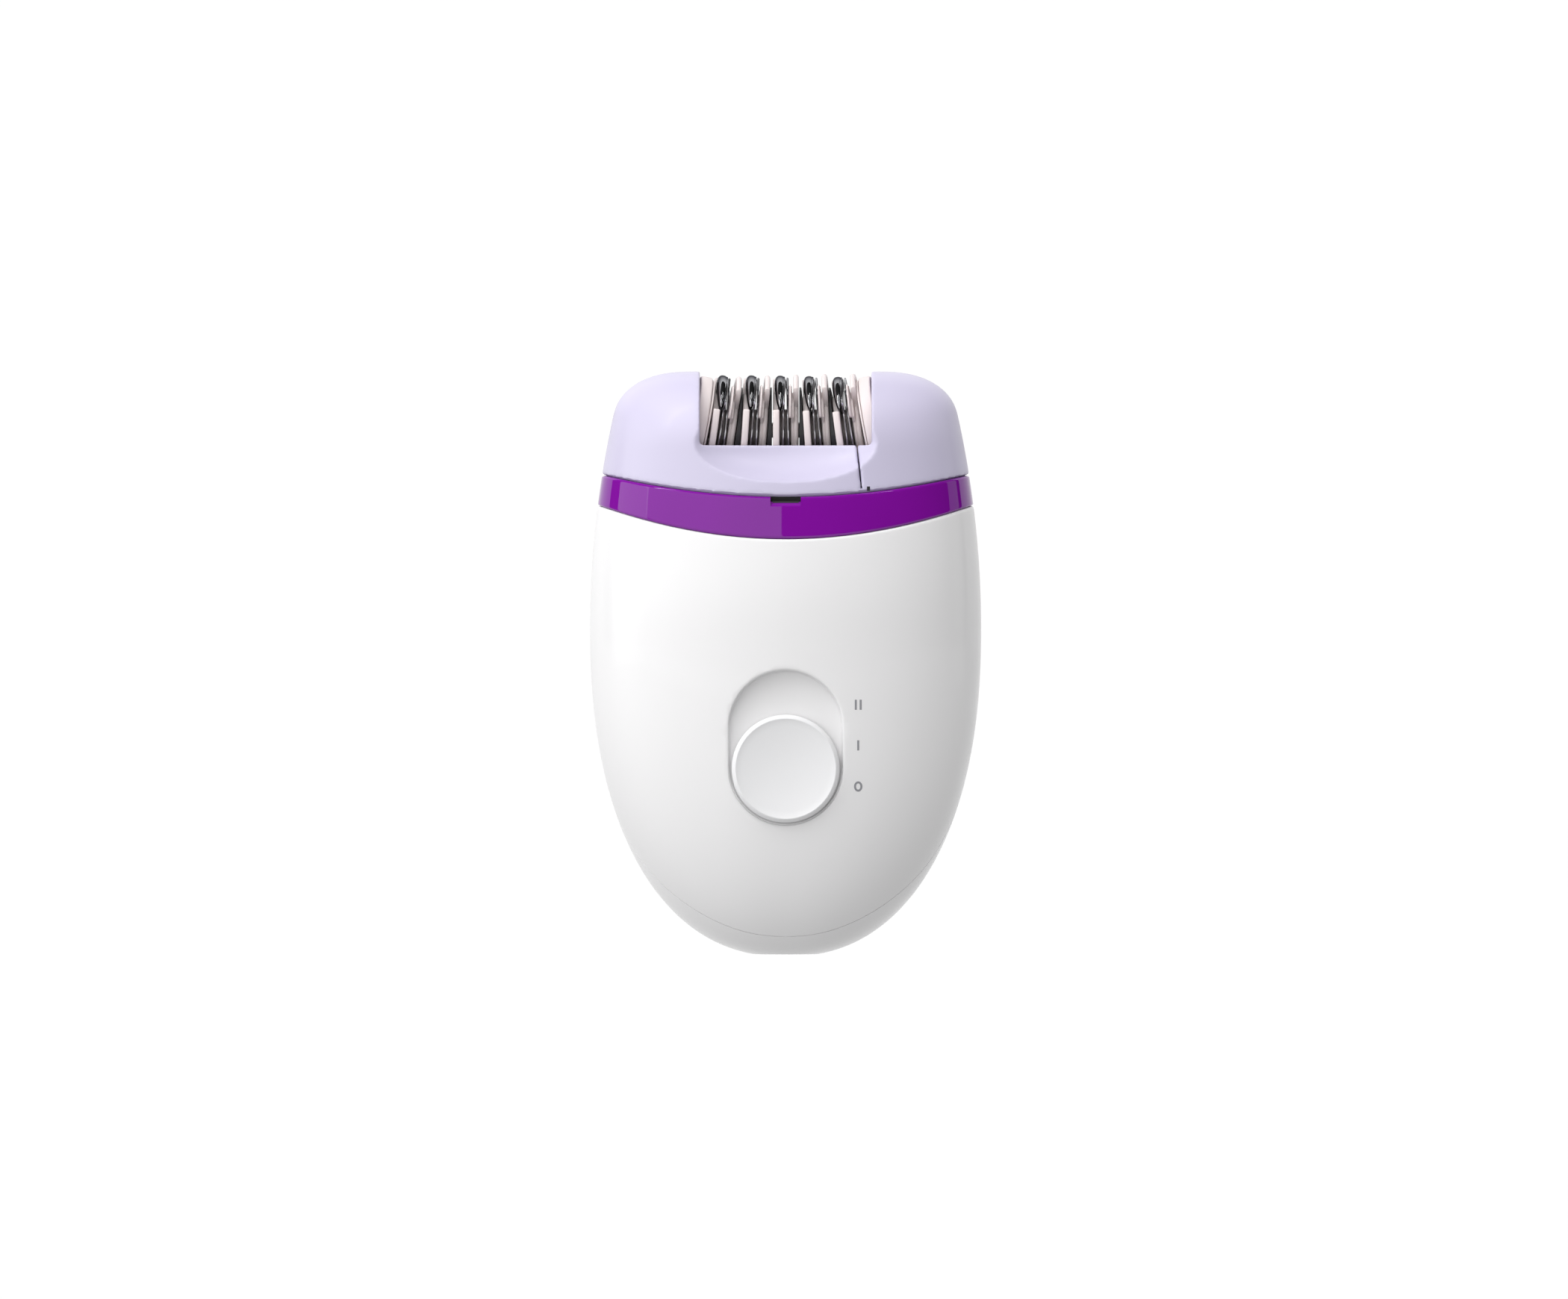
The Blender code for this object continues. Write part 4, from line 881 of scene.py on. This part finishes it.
def tip_mesh(half):
    """Bullet on a tweezer's ear, widest over its foot, with a narrow groove above the foot."""
    middle, reach = sum(TIP_SIDES) / 2, (TIP_SIDES[1] - TIP_SIDES[0]) / 2
    length = TIP_END - TIP_START
    turns = TIP_START + length * (1 - np.cos(np.linspace(0.12, math.pi / 2, 16)))
    sections = [(turn, math.sqrt(max(1 - ((TIP_END - turn) / length) ** 2, 0.0))) for turn in turns]
    sections += [(TIP_END + 0.8, 0.97), (TIP_END + 1.4, 0.84), (TIP_END + 2.4, 0.82), (TIP_END + 3.2, 0.93),
                 (TIP_FOOT - 1.2, 0.93), (TIP_FOOT - 0.3, 0.84), (TIP_FOOT, 0.70)]
    rings = []
    for turn, size in sections:
        angle = math.radians(FAN_LEAN - turn + half)
        ring = []
        for i in range(32):
            spread = 2 * math.pi * i / 32
            across = abs(math.cos(spread)) ** 0.75 * math.copysign(1, math.cos(spread))
            radius = TIP_RADIUS + math.sin(spread) * TIP_HEIGHT * (0.45 + 0.55 * size)
            ring.append((radius * math.cos(angle), radius * math.sin(angle), middle + reach * size * across))
        rings.append(ring)
    return ring_stack("tip", rings)


def end_disc_mesh(side):
    """Wide cream ring with a thin flange towards the units."""
    half, inward = 1.1, -side
    ring = polar_plate("end_disc", SHAFT_RADIUS + 0.7, round_rim(10.12), steady(-half), steady(half),
                       8, 180, 0.35)
    low, high = sorted((inward * (half - 0.2), inward * (half + 0.16)))
    step = polar_plate("step", 7.4, round_rim(9.0), steady(low), steady(high), 3, 180, 0.05)
    low, high = sorted((inward * (half + 0.10), inward * (half + 0.46)))
    flange = polar_plate("flange", 7.5, round_rim(9.7), steady(low), steady(high), 4, 180, 0.14)
    return boolean(ring, boolean(step, flange, "UNION"), "UNION")


def set_on_joint(pattern, name, joint, body, slot, surface, node, angle=40):
    """A copy of a pattern mesh, moved to a drum joint's frame."""
    mesh = pattern.copy()
    mesh.transform(disc_frame(JOINTS[joint]))
    return place(link(name, mesh), body, slot, surface, node, angle=angle)


def drum():
    """The spools and tweezer discs at their joints, and the two end discs."""
    spool, left, right = spool_mesh(), tweezer_mesh(-1), tweezer_mesh(1)
    for number in range(1, UNITS + 1):
        set_on_joint(spool.data, f"spool_fine_{number}", f"spool_{number}_spin", f"spool_{number}_body",
                     "cream_discs", CREAM, f"spool_{number}")
        for side, pattern in (("left", left), ("right", right)):
            node = f"tweezer_{side}_{number}"
            set_on_joint(pattern.data, f"tweezer_{side}_fine_{number}", f"{node}_spin", f"{node}_body",
                         "tweezer_steel", STEEL, node, angle=50)
    for side, name in SIDES:
        end = end_disc_mesh(side)
        set_on_joint(end.data, f"end_disc_{name}_fine", f"{name}_end_spin", f"{name}_end",
                     "cream_discs", CREAM, f"end_disc_{name}")
        bpy.data.objects.remove(end, do_unlink=True)
    for pattern in (spool, left, right):
        bpy.data.objects.remove(pattern, do_unlink=True)


# --- switch button and printed marks -------------------------------------------------------------
# The rim from the dish outwards: radius, and depth behind the face
BUTTON_RIM = ((9.20, 0.0), (9.34, 0.02), (9.45, 0.10), (9.80, 0.50), (9.92, 0.66), (BUTTON_RADIUS, 0.85))
DISH_RADIUS, DISH_DEPTH, DISH_RISE = 9.1, 0.85, 0.80


def button():
    """Slightly dished disc with a chamfered, rolled rim."""
    face, back = -BUTTON_FACE_Y, -RECESS_FLOOR_Y + 0.3
    steps, columns = 8, 128
    profile = [(DISH_RADIUS * i / steps, face - DISH_DEPTH + DISH_RISE * (i / steps) ** 2)
               for i in range(steps + 1)]
    profile += [(radius, face - depth) for radius, depth in BUTTON_RIM]
    profile += [(BUTTON_RADIUS, back + 0.2), (BUTTON_RADIUS - 0.2, back), (0.0, back)]
    points = []
    for radius, depth in profile:
        for i in range(columns):
            angle = 2 * math.pi * i / columns
            points.append((radius * math.cos(angle), -depth, BUTTON_Z + radius * math.sin(angle)))
    faces = sheet_faces(len(profile), columns, 0, True)
    knob = link("switch_button", clean(mesh_of("switch_button", points, faces), 1e-6))
    return place(knob, "switch", "switch_white", SWITCH, "slide_button", angle=32)


MARK_X, MARK_HEIGHT, MARK_STROKE = 13.4, 1.86, 0.38
MARK_OFF_HALF, MARK_TWO_HALF = (0.78, 0.95), 0.45
MARK_OFF_UP, MARK_ONE_UP, MARK_TWO_UP = -3.3, 4.3, 11.8     # heights from the switch's axis


def printed(name, outline_rings, body="handle", surface=INK):
    """A thin printed patch between two outlines (x, z), laid on the outline's front surface."""
    outer, inner = outline_rings
    grids = []
    for lift in (0.03, -0.02):
        grids.append(np.array([[(x, float(front_y(x, z)) - lift, z) for x, z in ring]
                               for ring in (outer, inner)]))
    patch = walled(name, grids[0], grids[1], True)
    return place(patch, body, "black_parts", surface)


def bar_rings(x, z, width, height):
    """Outer outline of a bar and a line down its middle, point for point."""
    steps = 12
    side = np.linspace(-height / 2, height / 2, steps)
    rings = []
    for half, share in ((width / 2, 1.0), (width * 0.02, 0.9)):
        ring = [(x + half, z + s * share) for s in side]
        rings.append(ring + [(x - half, z + s * share) for s in side[::-1]])
    return rings


def marks():
    """Generic switch marks: off, speed one and speed two."""
    off, one, two = BUTTON_Z + MARK_OFF_UP, BUTTON_Z + MARK_ONE_UP, BUTTON_Z + MARK_TWO_UP
    across, up = MARK_OFF_HALF
    turn = [2 * math.pi * i / 40 for i in range(40)]
    rings = []
    for less in (0.0, MARK_STROKE):
        rings.append([(MARK_X + (across - less) * math.cos(a), off + (up - less) * math.sin(a))
                      for a in turn])
    printed("mark_off", rings)
    printed("mark_one", bar_rings(MARK_X, one, MARK_STROKE, MARK_HEIGHT))
    printed("mark_two_a", bar_rings(MARK_X - MARK_TWO_HALF, two, MARK_STROKE, MARK_HEIGHT))
    printed("mark_two_b", bar_rings(MARK_X + MARK_TWO_HALF, two, MARK_STROKE, MARK_HEIGHT))


# --- stage, light and camera ---------------------------------------------------------------------
# Floor, in metres: how far it reaches, where its back begins, and the radius of the sweep up
FLOOR_REACH, FLOOR_FRONT, SWEEP_START, SWEEP_RADIUS, SWEEP_TOP = 4.0, -3.0, 1.2, 0.6, 3.0


def floor_mesh():
    """Flat sheet that sweeps up behind the object."""
    steps = 24
    profile = [(FLOOR_FRONT, 0.0), (SWEEP_START, 0.0)]
    for i in range(1, steps + 1):
        turn = math.pi / 2 * i / steps
        profile.append((SWEEP_START + SWEEP_RADIUS * math.sin(turn), SWEEP_RADIUS * (1 - math.cos(turn))))
    profile += [(SWEEP_START + SWEEP_RADIUS, SWEEP_TOP)]
    points = [(x, y, z) for y, z in profile for x in (-FLOOR_REACH, FLOOR_REACH)]
    faces = [(2 * i, 2 * i + 1, 2 * i + 3, 2 * i + 2) for i in range(len(profile) - 1)]
    mesh = bpy.data.meshes.new("floor")
    mesh.from_pydata(points, [], faces)
    return mesh


def floor_material():
    """Plain white that gives its own light."""
    made, nodes, links, shader = shader_of("pale_floor")
    set_socket(made, "Roughness", 0.9)
    set_socket(made, "Specular IOR Level", 0.0)
    paper = tinted(nodes, links, noise(nodes, links, 30.0), (0.018, 0.018, 0.018), (0.022, 0.022, 0.022))
    links.new(paper, shader.inputs["Base Color"])
    set_socket(made, "Emission Color", (1, 1, 1, 1))
    set_socket(made, "Emission Strength", 1.0)
    return made


def stage():
    """The floor, which neither lights nor shades the object."""
    item = link("floor", floor_mesh())
    item.data.shade_smooth()
    item.data.materials.append(floor_material())
    item.visible_diffuse = False
    item.visible_shadow = False


def panel(name, centre, target, size, radiance, mirrored=True):
    """Soft box of a given brightness, facing its target."""
    lamp = bpy.data.lights.new(name, "AREA")
    lamp.shape = "RECTANGLE"
    lamp.size, lamp.size_y = size
    lamp.energy = radiance * math.pi * size[0] * size[1]
    item = bpy.data.objects.new(name, lamp)
    item.location = centre
    item.rotation_euler = (Vector(target) - Vector(centre)).to_track_quat("-Z", "Y").to_euler()
    item.visible_camera = False
    item.visible_glossy = mirrored
    SCENE.objects.link(item)


WORLD_LEFT, WORLD_RIGHT, AMBIENT = 0.04, 0.01, 0.44


def studio_world():
    """White surroundings, a little brighter on the left, and dimmed by AMBIENT where a gloss mirrors them."""
    world = bpy.data.worlds.new("studio")
    world.use_nodes = True
    nodes, links = world.node_tree.nodes, world.node_tree.links
    direction = nodes.new("ShaderNodeTexCoord")
    split = nodes.new("ShaderNodeSeparateXYZ")
    fade = nodes.new("ShaderNodeMapRange")
    fade.inputs["From Min"].default_value = -1.0
    fade.inputs["From Max"].default_value = 1.0
    fade.inputs["To Min"].default_value = WORLD_LEFT + AMBIENT
    fade.inputs["To Max"].default_value = WORLD_RIGHT + AMBIENT
    links.new(direction.outputs["Generated"], split.inputs["Vector"])
    links.new(split.outputs["X"], fade.inputs["Value"])
    ray = nodes.new("ShaderNodeLightPath")
    soft = nodes.new("ShaderNodeMath")
    soft.operation = "MULTIPLY_ADD"
    soft.inputs[1].default_value = -AMBIENT
    links.new(ray.outputs["Is Glossy Ray"], soft.inputs[0])
    links.new(fade.outputs["Result"], soft.inputs[2])
    links.new(soft.outputs["Value"], nodes["Background"].inputs["Strength"])
    nodes["Background"].inputs["Color"].default_value = (1, 1, 1, 1)
    bpy.context.scene.world = world


def lights():
    """Soft boxes left of, above and right of the object; the two glints are narrow."""
    middle = (0.0, 0.0, 0.06)
    panel("key_left", (-0.76, -0.95, 0.45), (-0.76, 0.0, 0.15), (1.50, 1.40), 1.08)
    panel("wrap_left", (-1.50, -0.40, 0.35), (0.0, -0.40, 0.15), (1.05, 1.20), 1.65)
    panel("top", (-0.20, -0.30, 0.92), middle, (0.9, 0.9), 2.6, mirrored=False)
    panel("glint_left", (-0.45, -0.35, 0.75), middle, (0.06, 0.5), 9.0)
    panel("glint_right", (0.25, -0.30, 0.85), middle, (0.03, 0.4), 8.0)
    panel("side_right", (0.80, 0.10, 0.20), middle, (0.25, 0.8), 0.6)
    studio_world()


def camera():
    """Level view from the front."""
    distance, view_width, sensor_width = 2.60, 0.2917, 36.0
    lens = bpy.data.cameras.new("camera")
    lens.sensor_width = sensor_width
    lens.lens = sensor_width * distance / view_width
    item = bpy.data.objects.new("camera", lens)
    item.location = (-0.0003, -distance, 0.0566)
    item.rotation_euler = (math.pi / 2, 0, 0)
    SCENE.objects.link(item)
    bpy.context.scene.camera = item


camera()
dress_frame()
front_shell()
rear_shell()
collar()
head()
head_lip()
head_mark()
drum()
button()
marks()
stage()
lights()
bpy.context.scene.view_settings.view_transform = "Standard"
